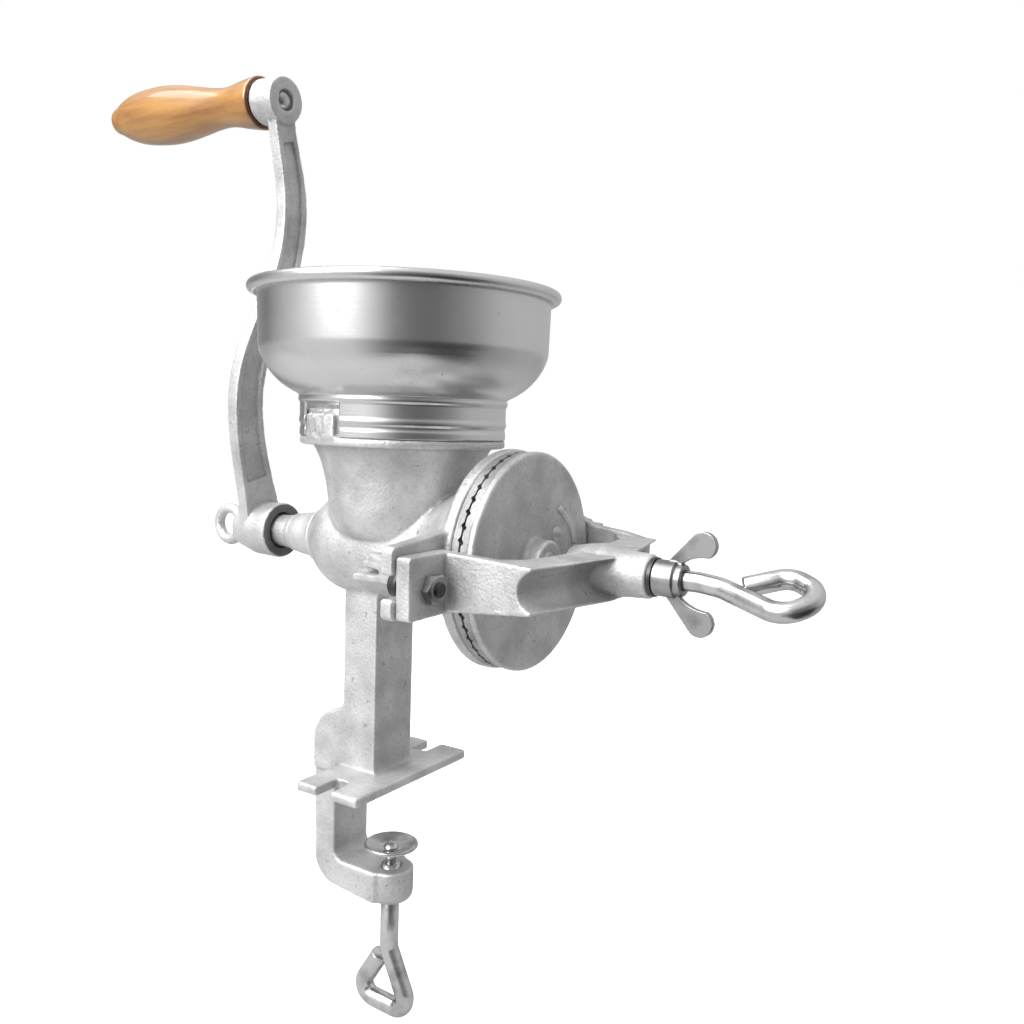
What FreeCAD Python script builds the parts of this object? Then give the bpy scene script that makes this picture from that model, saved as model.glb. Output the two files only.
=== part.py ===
import FreeCAD, Part
import math
import os

from FreeCAD import Placement, Rotation, Vector

# Hand-cranked grain and nut mill, clamped to a table edge.  Millimetres.
# The shaft runs along X: crank at -X, grinding discs and adjusting screw at +X, +Z is up.
# While a piece is drawn, z = 0 is the shaft axis and x = 0, y = 0 is the axis of the hopper.
# lift_to_table() then puts the origin on the underside of the table plate.

# ---------------------------------------------------------------------------------------
# Driving dimensions
# ---------------------------------------------------------------------------------------
SHAFT_HEIGHT = 118.5        # shaft axis above the table top
CASTING_WALL = 5.0
RUNNING = 0.05              # radial clearance of shafts, threads and pins
SEAT_GAP = 0.3              # clearance of loose seats
GAP_TRAVEL = 0.8            # how far the discs may be screwed towards each other

# hopper bowl, pressed from sheet with a rolled rim and a drawn neck
SHEET = 0.8
RIM_RADIUS = 75.0
RIM_HEIGHT = 121.8
BOWL_RADIUS = 70.2
BOWL_CREASE_RADIUS = 69.6
BOWL_CREASE_HEIGHT = 94.0
BOWL_FLOOR_HEIGHT = 73.5
NECK_TOP_RADIUS = 50.8
NECK_RADIUS = 49.8
NECK_BEAD = 0.9
NECK_GROOVE = 0.8
NECK_BEAD_HEIGHT = 60.5
NECK_UPPER_BEAD_HEIGHT = 70.5
NECK_PLAY = 1.2             # radial play of the hopper's neck on the throat's spigot
NOTCH_ANGLE = -101.5        # direction of the locating notch, degrees from +X
NOTCH_SPAN = 31.0
NOTCH_TOP = 69.4

# throat and barrel of the casting
THROAT_TOP = 53.3
THROAT_RING_HEIGHT = 4.2
THROAT_MOUTH_RADIUS = 43.5
THROAT_SPIGOT_TOP = 66.0
FEED_HOLE_RADIUS = 18.5
WORM_RADIUS = 21.0
WORM_CLEARANCE = 1.0
BARREL_REAR_X = -32.0
BEARING_END_X = -84.0
BEARING_NOSE_RADIUS = 8.7
BEARING_STEP_X = -69.5
BEARING_STEP_RADIUS = 9.9

# shaft and worm
SHAFT_RADIUS = 6.5
SHAFT_REAR_X = -104.0
WORM_PITCH = 30.0
WORM_TURNS = 2.6
WORM_START_X = -26.0
WORM_ROOT_RADIUS = 10.5
FLIGHT_THICKNESS = 4.5
STUB_RADIUS = 5.8
STUB_LENGTH = 8.0

# grinding discs
FLANGE_FRONT_X = 66.5
FLANGE_BACK_X = 61.0
FLANGE_RADIUS = 50.4
BURR_RADIUS = 49.4
BURR_THICKNESS = 3.4
GRIND_GAP = 1.0
TOOTH_COUNT = 48
TOOTH_DEPTH = 1.1
TOOTH_WIDTH = 2.9
TOOTH_INNER_RADIUS = 27.0
TOOTH_OFFSET = 7.0          # grooves run tangent to a circle of this radius
CARRIER_THICKNESS = 3.4
CARRIER_RADIUS = 49.8
CARRIER_HUB_RADIUS = 13.0
CARRIER_HUB_LENGTH = 8.0
CARRIER_FRONT_HUB_RADIUS = 10.5
CARRIER_FRONT_HUB_LENGTH = 8.3
DRIVE_PIN_RADIUS = 2.0
BURR_SCREW_RADIUS = 2.5
BURR_SCREW_HEAD_RADIUS = 4.5
BURR_SCREW_CIRCLE = 26.0
FIXED_SCREW_CIRCLE = 38.0
RIVET_CIRCLE = 22.2
RIVET_ANGLE = 31.0
RIVET_RADIUS = 2.0
RIVET_HEAD_RADIUS = 3.6

# ears, yoke and its bolts
EAR_THICKNESS = 6.0
EAR_REACH = 83.0
EAR_TOP = 12.7
EAR_ROOT_TOP = 16.5
EAR_BOTTOM = -16.8
SLOT_WIDTH = 9.2
SLOT_Z = -3.3
BOLT_Y = 67.0
BOLT_Z = -3.6
BOLT_RADIUS = 3.2
BOLT_HEAD_RADIUS = 6.0
BOLT_HEAD_HEIGHT = 5.0
BOLT_TAIL = 1.1
NUT_FLATS = 11.6
NUT_HEIGHT = 4.0
WASHER_THICKNESS = 1.2
WASHER_RADIUS = 6.8
RIB_REACH = 30.0            # where the ribs behind the ears end, beside the barrel
RIB_ROOT = 58.5             # and where they meet the ear
LUG_THICKNESS = 7.3
LUG_REACH = 81.0
YOKE_HALF_WIDTH = 57.7
YOKE_ARM_THICKNESS = 6.2
YOKE_FRONT_X = 111.0
YOKE_BOSS_X = 122.0
YOKE_BAR_THICKNESS = 14.0
YOKE_ARM_TOP = 10.4
YOKE_ARM_BOTTOM = -15.5
YOKE_BAR_TOP = 8.0
YOKE_BAR_BOTTOM = -11.3
YOKE_FLUTE_RADIUS = 8.6
YOKE_FLUTE_DEPTH = 6.5
YOKE_TURN = 0.8             # how far the yoke stands turned in its bolts' play, degrees
BOSS_RADIUS = 9.6
BOSS_END_X = 136.5
BOSS_BACK_X = 97.5

# adjusting screw, ball and wing nut
BALL_RADIUS = 4.0
BALL_INSET = 1.5            # how far the ball's centre stands off each cup's face
ADJUSTER_RADIUS = 4.3
ADJUSTER_BEND_X = 166.0
ADJUSTER_SAG_X = 157.0      # the rod is bent a little downwards from here on
EYE_DROP = 1.0
EYE_LENGTH = 43.0
EYE_TILT = 32.0             # turn of the eye about the screw's axis, degrees
LOCK_WASHER_THICKNESS = 1.5
WING_HUB_RADIUS = 7.8
WING_HUB_LENGTH = 12.5
WING_THICKNESS = 3.2
WING_LOBE_RADIUS = 5.8
WING_UPPER_LOBE = 15.3      # the wings are cast a little off the hub's centre
WING_LOWER_LOBE = 16.9
WING_LOBE_FORWARD = 20.0

# crank
HUB_FACE_X = -81.3
HUB_END_X = -111.0
HUB_RADIUS = 14.9
HUB_END_RADIUS = 11.0
HUB_RECESS_RADIUS = 9.7
HUB_RECESS_DEPTH = 9.9
CRANK_LENGTH = 225.0
CRANK_LEAN = 2.8            # lean of the arm towards the hopper, degrees
ARM_FACE_X = -95.0
ARM_THICKNESS = 7.0
ARM_GROOVE_DEPTH = 1.6
ARM_EDGE = 3.2
TOP_HUB_RADIUS = 11.8
TOP_HUB_LENGTH = 16.0
TOP_HUB_PROUD = 1.4
THUMB_SCREW_RADIUS = 3.0
THUMB_RING_RADIUS = 8.9
THUMB_RING_ROD = 3.0
THUMB_RING_X = -123.4

# wooden handle
HANDLE_LENGTH = 120.0
HANDLE_BORE_RADIUS = 3.6
HANDLE_BOLT_RADIUS = 3.5
HANDLE_END_RADIUS = 13.5
HANDLE_NECK_RADIUS = 10.1
HANDLE_BULGE_RADIUS = 15.6
HANDLE_END_GAP = 0.5
HANDLE_BOLT_HEAD_RADIUS = 5.0
HANDLE_POCKET_RADIUS = 6.5
HANDLE_POCKET_DEPTH = 9.0

# post, table plate and clamp
POST_LEFT_X = -23.5
POST_RIGHT_X = -2.4
POST_HALF_WIDTH = 14.5
PLATE_THICKNESS = 4.8
PLATE_LEFT_X = -26.5
PLATE_RIGHT_X = 12.2
PLATE_HALF_LENGTH = 43.9
PLATE_SLOT_X = -8.9
PLATE_SLOT_WIDTH = 9.0
PLATE_SLOT_DEPTH = 15.0
SPINE_OUTER_X = -44.0
SPINE_INNER_X = -29.6
JAW_HALF_WIDTH = 13.3
JAW_FLOOR_DROP = 47.0       # jaw floor below the table face
JAW_BOSS_HEIGHT = 17.6
JAW_BOSS_RADIUS = 11.8
CLAMP_SCREW_X = -2.2

# clamp screw and pad
CLAMP_SCREW_RADIUS = 4.75
CLAMP_NECK_RADIUS = 2.7
PAD_RADIUS = 13.8
PAD_THICKNESS = 1.5
PAD_DISH = 2.6
PAD_RAISED = 8.0            # underside of the pad above the jaw floor
LOOP_SHANK = 44.3           # jaw floor to the first bend of the loop
LOOP_DROP = 31.6
LOOP_RIGHT = 15.0
LOOP_LEFT = 21.0
LOOP_RISE = 1.5             # the left corner lies this much higher

# ---------------------------------------------------------------------------------------
# Sizes that follow
# ---------------------------------------------------------------------------------------
BORE_RADIUS = WORM_RADIUS + WORM_CLEARANCE
BARREL_RADIUS = BORE_RADIUS + CASTING_WALL
TABLE_Z = -SHAFT_HEIGHT
PLATE_TOP_Z = TABLE_Z + PLATE_THICKNESS
JAW_FLOOR_Z = TABLE_Z - JAW_FLOOR_DROP
JAW_BOTTOM_Z = JAW_FLOOR_Z - JAW_BOSS_HEIGHT
HOPPER_FOOT_Z = THROAT_TOP + RUNNING
RIM_BEAD_RADIUS = (RIM_RADIUS - BOWL_RADIUS + SHEET) / 2
SPIGOT_RADIUS = NECK_RADIUS - SHEET - NECK_PLAY
FIXED_BURR_FACE_X = FLANGE_FRONT_X + BURR_THICKNESS
MOVING_BURR_FACE_X = FIXED_BURR_FACE_X + GRIND_GAP
CARRIER_BACK_X = MOVING_BURR_FACE_X + BURR_THICKNESS
CARRIER_FACE_X = CARRIER_BACK_X + CARRIER_THICKNESS
SHAFT_END_X = CARRIER_FACE_X + STUB_LENGTH
BALL_X = SHAFT_END_X + BALL_INSET
ADJUSTER_TIP_X = BALL_X + BALL_INSET
EAR_FRONT_X = FLANGE_BACK_X + 2.3
EAR_BACK_X = EAR_FRONT_X - EAR_THICKNESS
LUG_FRONT_X = EAR_FRONT_X + LUG_THICKNESS
LOCK_WASHER_X = BOSS_END_X + RUNNING
WING_BACK_X = LOCK_WASHER_X + LOCK_WASHER_THICKNESS + RUNNING


# ---------------------------------------------------------------------------------------
# Drawing helpers
# ---------------------------------------------------------------------------------------
def lift_to_table(shape):
    """Move a shape from the shaft's frame to the part's frame."""
    shape = shape.copy()
    shape.translate(Vector(0, 0, SHAFT_HEIGHT))
    return shape


def face_of(edges):
    """A flat face bounded by edges that meet end to end."""
    return Part.Face(Part.Wire(edges))


def closed_edges(points):
    """Straight edges round a list of points."""
    pairs = zip(points, points[1:] + points[:1])
    return [Part.LineSegment(a, b).toShape() for a, b in pairs if a.distanceToPoint(b) > 1e-6]


def spun_about_x(profile):
    """Solid of revolution about the shaft axis from (x, radius) points."""
    points = [Vector(x, 0, r) for x, r in profile]
    return face_of(closed_edges(points)).revolve(Vector(), Vector(1, 0, 0), 360)


def spun_about_z(profile, x=0.0):
    """Solid of revolution about a vertical axis at x from (radius, z) points."""
    points = [Vector(x + r, 0, z) for r, z in profile]
    return face_of(closed_edges(points)).revolve(Vector(x, 0, 0), Vector(0, 0, 1), 360)


def rod_along_x(radius, start, end, y=0.0, z=0.0):
    return Part.makeCylinder(radius, end - start, Vector(start, y, z), Vector(1, 0, 0))


def rod_along_z(radius, start, end, x=0.0, y=0.0):
    return Part.makeCylinder(radius, end - start, Vector(x, y, start), Vector(0, 0, 1))


def box_between(low, high):
    size = [b - a for a, b in zip(low, high)]
    return Part.makeBox(*size, Vector(*low))


def extruded_y(points, half_width):
    """Prism from (x, z) points, centred on y = 0."""
    outline = [Vector(x, -half_width, z) for x, z in points]
    return face_of(closed_edges(outline)).extrude(Vector(0, 2 * half_width, 0))


def bent_rod(radius, points, bend_radii):
    """Round rod along straight runs with a tangent arc at each inner point."""
    edges = []
    start = points[0]
    for before, corner, after, bend in zip(points, points[1:], points[2:], bend_radii):
        into = (corner - before).normalize()
        out_of = (after - corner).normalize()
        turn = into.getAngle(out_of)
        reach = bend * math.tan(turn / 2)
        arc_start = corner - into * reach
        arc_end = corner + out_of * reach
        inward = (out_of - into).normalize()
        middle = corner + inward * (bend / math.cos(turn / 2) - bend)
        edges.append(Part.LineSegment(start, arc_start).toShape())
        edges.append(Part.Arc(arc_start, middle, arc_end).toShape())
        start = arc_end
    edges.append(Part.LineSegment(start, points[-1]).toShape())
    path = Part.Wire(edges)
    heading = (points[1] - points[0]).normalize()
    section = Part.Wire(Part.makeCircle(radius, points[0], heading))
    return path.makePipeShell([section], True, False)


def mirrored_pair(shape):
    """The shape and its mirror image across y = 0."""
    return [shape, shape.mirror(Vector(), Vector(0, 1, 0))]


def fused(shapes):
    return shapes[0].multiFuse(shapes[1:]).removeSplitter()


def hex_prism(across_flats, start, end, y, z):
    corner_radius = across_flats / math.sqrt(3)
    angles = [math.radians(60 * i) for i in range(6)]
    points = [Vector(start, y + corner_radius * math.cos(a), z + corner_radius * math.sin(a))
              for a in angles]
    return face_of(closed_edges(points)).extrude(Vector(end - start, 0, 0))


# ---------------------------------------------------------------------------------------
# Body casting: throat, barrel, flange, ears, post, table plate and clamp in one piece
# ---------------------------------------------------------------------------------------
def throat_outside():
    ring_bottom = THROAT_TOP - THROAT_RING_HEIGHT
    foot = Vector(BARREL_RADIUS - 3, 0, 4.6)
    heel = Vector(BARREL_RADIUS + 4.2, 0, 8.0)
    waist = Vector(BARREL_RADIUS + 8.0, 0, 16)
    shoulder = Vector(THROAT_MOUTH_RADIUS, 0, ring_bottom)
    flare = Part.BSplineCurve()
    flare.interpolate([foot, heel, waist, Vector(waist.x + 1.6, 0, 27), Vector(39.4, 0, 40), shoulder])
    above = [shoulder, Vector(NECK_RADIUS, 0, ring_bottom), Vector(NECK_RADIUS, 0, THROAT_TOP),
             Vector(SPIGOT_RADIUS, 0, THROAT_TOP), Vector(SPIGOT_RADIUS, 0, THROAT_SPIGOT_TOP),
             Vector(0, 0, THROAT_SPIGOT_TOP), Vector(0, 0, foot.z), foot]
    edges = [flare.toShape()]
    edges += [Part.LineSegment(a, b).toShape() for a, b in zip(above, above[1:])]
    return face_of(edges).revolve(Vector(), Vector(0, 0, 1), 360)


def throat_inside():
    mouth = SPIGOT_RADIUS - CASTING_WALL
    waist = BARREL_RADIUS + 8.0 - CASTING_WALL
    return spun_about_z([
        (0, THROAT_SPIGOT_TOP + 1), (mouth, THROAT_SPIGOT_TOP + 1), (mouth, THROAT_TOP),
        (mouth - 6, 44), (waist + 1, 34), (waist - 1, 18), (FEED_HOLE_RADIUS, 13),
        (FEED_HOLE_RADIUS, 0), (0, 0)])


def locating_lug():
    """Block on the throat's spigot that fills the hopper's notch."""
    span = NOTCH_SPAN - 6
    ring = Part.makeCylinder(NECK_RADIUS + 0.8, 11, Vector(0, 0, THROAT_TOP - 0.5),
                             Vector(0, 0, 1), span)
    ring = ring.cut(rod_along_z(SPIGOT_RADIUS - 1, 0, RIM_HEIGHT))
    ring.rotate(Vector(), Vector(0, 0, 1), NOTCH_ANGLE - span / 2)
    return ring


def barrel_outside():
    nose = BEARING_NOSE_RADIUS
    start = [Vector(BEARING_END_X, 0, 0), Vector(BEARING_END_X, 0, nose - 0.6),
             Vector(BEARING_END_X + 0.6, 0, nose - 0.1), Vector(BEARING_STEP_X - 7, 0, nose - 0.1),
             Vector(BEARING_STEP_X - 6.6, 0, nose + 0.2), Vector(BEARING_STEP_X - 3, 0, nose + 0.2),
             Vector(BEARING_STEP_X, 0, BEARING_STEP_RADIUS)]
    neck = Part.BSplineCurve()
    neck.interpolate([start[-1], Vector(-66, 0, 10.8), Vector(-60, 0, 11.6), Vector(-53, 0, 13)])
    dome = Part.BSplineCurve()
    dome.interpolate([Vector(-53, 0, 13), Vector(-47.5, 0, 16.5), Vector(-41.8, 0, 20.8),
                      Vector(-35.8, 0, 24.3), Vector(-28, 0, 26.4), Vector(-18, 0, BARREL_RADIUS)])
    cone = Part.BSplineCurve()
    cone.interpolate([Vector(24, 0, BARREL_RADIUS), Vector(40, 0, BARREL_RADIUS + 3.5),
                      Vector(52, 0, BARREL_RADIUS + 12.5), Vector(58.5, 0, FLANGE_RADIUS - 3)])
    rim = [Vector(58.5, 0, FLANGE_RADIUS - 3), Vector(FLANGE_BACK_X, 0, FLANGE_RADIUS),
           Vector(FLANGE_FRONT_X, 0, FLANGE_RADIUS), Vector(FLANGE_FRONT_X, 0, 0)]
    edges = [Part.LineSegment(a, b).toShape() for a, b in zip(start, start[1:])]
    edges += [neck.toShape(), dome.toShape()]
    edges.append(Part.LineSegment(Vector(-18, 0, BARREL_RADIUS),
                                  Vector(24, 0, BARREL_RADIUS)).toShape())
    edges.append(cone.toShape())
    edges += [Part.LineSegment(a, b).toShape() for a, b in zip(rim, rim[1:])]
    edges.append(Part.LineSegment(rim[-1], start[0]).toShape())
    return face_of(edges).revolve(Vector(), Vector(1, 0, 0), 360)


def ear():
    """Forked ear that carries one end of the yoke, on the -Y side."""
    inner, root = FLANGE_RADIUS * 0.7, FLANGE_RADIUS - 0.4
    outline = [Vector(EAR_BACK_X, -inner, EAR_ROOT_TOP), Vector(EAR_BACK_X, -root, EAR_ROOT_TOP),
               Vector(EAR_BACK_X, -EAR_REACH, EAR_TOP), Vector(EAR_BACK_X, -EAR_REACH, EAR_BOTTOM),
               Vector(EAR_BACK_X, -root, EAR_BOTTOM - 2), Vector(EAR_BACK_X, -inner, EAR_BOTTOM - 2)]
    plate = face_of(closed_edges(outline)).extrude(Vector(EAR_THICKNESS, 0, 0))
    corners = [e for e in plate.Edges
               if abs(e.tangentAt(e.FirstParameter).x) > 0.99
               and e.Vertexes[0].Y < -EAR_REACH + 1]
    plate = plate.makeFillet(2.5, corners)
    slot = fused([
        box_between((EAR_BACK_X - 1, -EAR_REACH - 1, SLOT_Z - SLOT_WIDTH / 2),
                    (EAR_FRONT_X + 1, -BOLT_Y + 2, SLOT_Z + SLOT_WIDTH / 2)),
        rod_along_x(SLOT_WIDTH / 2, EAR_BACK_X - 1, EAR_FRONT_X + 1, -BOLT_Y + 2, SLOT_Z)])
    return plate.cut(slot)


def ear_rib(end_x, end_z, root_z, thickness):
    """Blade from the back of an ear to a blunt end beside the barrel, on the -Y side."""
    end = Vector(end_x, -RIB_REACH, end_z)
    root = Vector(EAR_BACK_X + 1, -RIB_ROOT, root_z)
    inwards = Vector(0, 1, 0)
    corners = [end, root, root + inwards * (RIB_ROOT - 20), end + inwards * (RIB_REACH - 20)]
    normal = (root - end).cross(inwards).normalize()
    blade = face_of(closed_edges([p - normal * (thickness / 2) for p in corners]))
    return blade.extrude(normal * thickness)


def ear_ribs():
    """Three ribs that fan out from the bolt's place behind each ear."""
    return [ear_rib(-4.7, -12.7, -6.0, 3.4), ear_rib(1.2, -5.6, -4.4, 2.8), ear_rib(5.0, -1.7, -2.8, 2.4)]


def post_and_clamp():
    """C-shaped frame: post down to the table plate, spine behind the table, lower jaw."""
    top_z = -12.0
    flare_z = TABLE_Z + 40
    spine_z = TABLE_Z + 16
    outer = Part.BSplineCurve()
    outer.interpolate([Vector(POST_LEFT_X, 0, flare_z), Vector(POST_LEFT_X - 1.6, 0, flare_z - 5),
                       Vector(-32.7, 0, TABLE_Z + 31.5), Vector(-40.9, 0, TABLE_Z + 24.5),
                       Vector(SPINE_OUTER_X, 0, spine_z)])
    heel = Part.Arc(Vector(SPINE_OUTER_X + 1, 0, JAW_FLOOR_Z + 1),
                    Vector(SPINE_OUTER_X + 4.5, 0, JAW_FLOOR_Z - 9),
                    Vector(SPINE_OUTER_X + 14, 0, JAW_FLOOR_Z - 14)).toShape()
    toe = Vector(CLAMP_SCREW_X, 0, JAW_BOTTOM_Z + 1)
    inside = Part.Arc(Vector(SPINE_INNER_X, 0, JAW_FLOOR_Z + 6),
                      Vector(SPINE_INNER_X + 1.6, 0, JAW_FLOOR_Z + 1.8),
                      Vector(SPINE_INNER_X + 6, 0, JAW_FLOOR_Z)).toShape()
    runs = [
        outer.toShape(),
        Part.LineSegment(Vector(SPINE_OUTER_X, 0, spine_z), heel.Vertexes[0].Point).toShape(),
        heel,
        Part.LineSegment(heel.Vertexes[1].Point, toe).toShape(),
        Part.LineSegment(toe, Vector(CLAMP_SCREW_X, 0, JAW_FLOOR_Z)).toShape(),
        Part.LineSegment(Vector(CLAMP_SCREW_X, 0, JAW_FLOOR_Z), inside.Vertexes[1].Point).toShape(),
        inside,
        Part.LineSegment(inside.Vertexes[0].Point, Vector(SPINE_INNER_X, 0, TABLE_Z)).toShape(),
        Part.LineSegment(Vector(SPINE_INNER_X, 0, TABLE_Z), Vector(POST_RIGHT_X, 0, TABLE_Z)).toShape(),
        Part.LineSegment(Vector(POST_RIGHT_X, 0, TABLE_Z), Vector(POST_RIGHT_X, 0, top_z)).toShape(),
        Part.LineSegment(Vector(POST_RIGHT_X, 0, top_z), Vector(POST_LEFT_X, 0, top_z)).toShape(),
        Part.LineSegment(Vector(POST_LEFT_X, 0, top_z), Vector(POST_LEFT_X, 0, flare_z)).toShape()]
    frame = Part.Face(Part.Wire(Part.__sortEdges__(runs)))
    frame.translate(Vector(0, -POST_HALF_WIDTH, 0))
    frame = frame.extrude(Vector(0, 2 * POST_HALF_WIDTH, 0))
    trimmed = trim_spine(frame)
    boss = rod_along_z(JAW_BOSS_RADIUS, JAW_BOTTOM_Z, JAW_FLOOR_Z, CLAMP_SCREW_X)
    lower_rim = [e for e in boss.Edges if e.BoundBox.ZMax < JAW_BOTTOM_Z + 0.1 and e.Length > 20]
    boss = boss.makeFillet(4.5, lower_rim)
    return [trimmed, boss]


def trim_spine(frame):
    """The spine and jaw are a little narrower than the post."""
    side = box_between((SPINE_OUTER_X - 5, JAW_HALF_WIDTH, JAW_BOTTOM_Z - 5),
                       (PLATE_RIGHT_X, POST_HALF_WIDTH + 5, TABLE_Z))
    for shape in mirrored_pair(side):
        frame = frame.cut(shape)
    return frame


def table_plate():
    plate = box_between((PLATE_LEFT_X, -PLATE_HALF_LENGTH, TABLE_Z),
                        (PLATE_RIGHT_X, PLATE_HALF_LENGTH, PLATE_TOP_Z))
    upright = [e for e in plate.Edges if abs(e.tangentAt(e.FirstParameter).z) > 0.99]
    plate = plate.makeFillet(1.8, upright)
    top_rim = [e for e in plate.Edges if e.BoundBox.ZMin > PLATE_TOP_Z - 0.1]
    plate = plate.makeFillet(0.9, top_rim)
    slot = box_between((PLATE_SLOT_X - PLATE_SLOT_WIDTH / 2, PLATE_HALF_LENGTH - PLATE_SLOT_DEPTH,
                        TABLE_Z - 1),
                       (PLATE_SLOT_X + PLATE_SLOT_WIDTH / 2, PLATE_HALF_LENGTH + 1,
                        PLATE_TOP_Z + 1))
    for shape in mirrored_pair(slot):
        plate = plate.cut(shape)
    return plate


def body_casting():
    solids = [barrel_outside(), throat_outside(), table_plate()] + post_and_clamp()
    for shape in [ear()] + ear_ribs():
        solids += mirrored_pair(shape)
    casting = fused(solids)
    casting = casting.cut(throat_inside())
    casting = casting.cut(rod_along_x(BORE_RADIUS, BARREL_REAR_X, FLANGE_FRONT_X + 1))
    casting = casting.cut(rod_along_x(SHAFT_RADIUS + RUNNING, BEARING_END_X - 1, BARREL_REAR_X + 1))
    casting = casting.cut(rod_along_z(CLAMP_SCREW_RADIUS + RUNNING, JAW_BOTTOM_Z - 1,
                                      JAW_FLOOR_Z + 1, CLAMP_SCREW_X))
    for hole in circle_of_rods(3, FIXED_SCREW_CIRCLE, BURR_SCREW_RADIUS,
                               FLANGE_BACK_X - 3, FLANGE_FRONT_X + 1):
        casting = casting.cut(hole)
    casting = casting.fuse(locating_lug())
    return casting.removeSplitter()


# ---------------------------------------------------------------------------------------
# Hopper bowl
# ---------------------------------------------------------------------------------------
def hopper_bowl():
    """Spun sheet bowl: rolled rim, straight wall, rounded floor and a neck with two beads."""
    def wall(offset):
        """Edges of the sheet's outside, or of its inside when offset is one thickness."""
        rim = Vector(BOWL_RADIUS - offset, 0, RIM_HEIGHT)
        crease = Vector(BOWL_CREASE_RADIUS - offset, 0, BOWL_CREASE_HEIGHT)
        floor = Vector(NECK_TOP_RADIUS + 1.2 - offset * 0.6, 0, BOWL_FLOOR_HEIGHT + offset)
        turn = Vector(64.9 - offset * 0.7, 0, 84.2 + offset * 0.7)
        neck = [floor]
        upper, lower = NECK_UPPER_BEAD_HEIGHT, NECK_BEAD_HEIGHT
        for radius, height in ((0.3, upper + 1.8), (NECK_BEAD, upper + 0.7), (NECK_BEAD, upper - 0.6),
                               (0, upper - 1.6), (0, lower + 1.9), (NECK_BEAD, lower + 0.8),
                               (NECK_BEAD, lower - 0.7), (-NECK_GROOVE, lower - 1.9),
                               (-NECK_GROOVE, lower - 3.1), (0, lower - 4.1), (0, HOPPER_FOOT_Z)):
            neck.append(Vector(NECK_RADIUS + radius - offset, 0, height))
        runs = [Part.LineSegment(a, b).toShape() for a, b in zip(neck, neck[1:])]
        return [Part.LineSegment(rim, crease).toShape(), Part.Arc(crease, turn, floor).toShape()] + runs
    outer = wall(0)
    inner = wall(SHEET)
    top = Part.LineSegment(outer[0].Vertexes[0].Point, inner[0].Vertexes[0].Point).toShape()
    foot = Part.LineSegment(outer[-1].Vertexes[-1].Point, inner[-1].Vertexes[-1].Point).toShape()
    profile = Part.Face(Part.Wire(Part.__sortEdges__(outer + inner + [top, foot])))
    bowl = profile.revolve(Vector(), Vector(0, 0, 1), 360)
    bead = Part.makeTorus(RIM_RADIUS - RIM_BEAD_RADIUS, RIM_BEAD_RADIUS, Vector(0, 0, RIM_HEIGHT))
    inside = rod_along_z(BOWL_RADIUS - SHEET, BOWL_CREASE_HEIGHT, RIM_HEIGHT + 5)
    bowl = bowl.fuse(bead.cut(inside))
    notch = Part.makeCylinder(NECK_TOP_RADIUS + 5, NOTCH_TOP - HOPPER_FOOT_Z + 1,
                              Vector(0, 0, HOPPER_FOOT_Z - 1), Vector(0, 0, 1), NOTCH_SPAN)
    notch.rotate(Vector(), Vector(0, 0, 1), NOTCH_ANGLE - NOTCH_SPAN / 2)
    return bowl.cut(notch).removeSplitter()


# ---------------------------------------------------------------------------------------
# Worm shaft
# ---------------------------------------------------------------------------------------
def worm_flight():
    """One helical flight, swept from a rectangular section that reaches into the root."""
    path = Part.makeHelix(WORM_PITCH, WORM_PITCH * WORM_TURNS, WORM_ROOT_RADIUS)
    inner = WORM_ROOT_RADIUS - 2
    corners = [Vector(inner, 0, -FLIGHT_THICKNESS / 2), Vector(WORM_RADIUS, 0, -FLIGHT_THICKNESS / 3),
               Vector(WORM_RADIUS, 0, FLIGHT_THICKNESS / 3), Vector(inner, 0, FLIGHT_THICKNESS / 2)]
    section = Part.Wire(closed_edges(corners))
    flight = Part.Wire(path).makePipeShell([section], True, True)
    flight.Placement = Placement(Vector(WORM_START_X, 0, 0), Rotation(Vector(0, 1, 0), 90))
    return flight


def worm_shaft():
    core_end = WORM_START_X + WORM_PITCH * WORM_TURNS + 3.0
    turned = spun_about_x([
        (SHAFT_REAR_X, 0), (SHAFT_REAR_X, SHAFT_RADIUS - 0.6), (SHAFT_REAR_X + 0.6, SHAFT_RADIUS),
        (BARREL_REAR_X + GAP_TRAVEL + 0.4, SHAFT_RADIUS),
        (BARREL_REAR_X + GAP_TRAVEL + 0.4, WORM_ROOT_RADIUS),
        (core_end, WORM_ROOT_RADIUS), (core_end + 2, SHAFT_RADIUS),
        (CARRIER_FACE_X, SHAFT_RADIUS), (CARRIER_FACE_X, STUB_RADIUS),
        (SHAFT_END_X - 0.8, STUB_RADIUS), (SHAFT_END_X, STUB_RADIUS - 0.8), (SHAFT_END_X, 0)])
    shaft = turned.fuse(worm_flight()).removeSplitter()
    shaft = shaft.cut(Part.makeSphere(BALL_RADIUS + RUNNING, Vector(BALL_X, 0, 0)))
    shaft = shaft.cut(drive_pin_rod(DRIVE_PIN_RADIUS))
    shaft = shaft.cut(rod_along_x(THUMB_SCREW_RADIUS, SHAFT_REAR_X - 1, SHAFT_REAR_X + 12))
    return shaft


# ---------------------------------------------------------------------------------------
# Grinding discs and their fixings
# ---------------------------------------------------------------------------------------
def circle_of_rods(count, circle, radius, start, end, first=90.0):
    """Rods along X spaced round the shaft."""
    rods = []
    for i in range(count):
        angle = math.radians(first + 360.0 * i / count)
        rods.append(rod_along_x(radius, start, end, circle * math.cos(angle),
                                circle * math.sin(angle)))
    return rods


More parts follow.
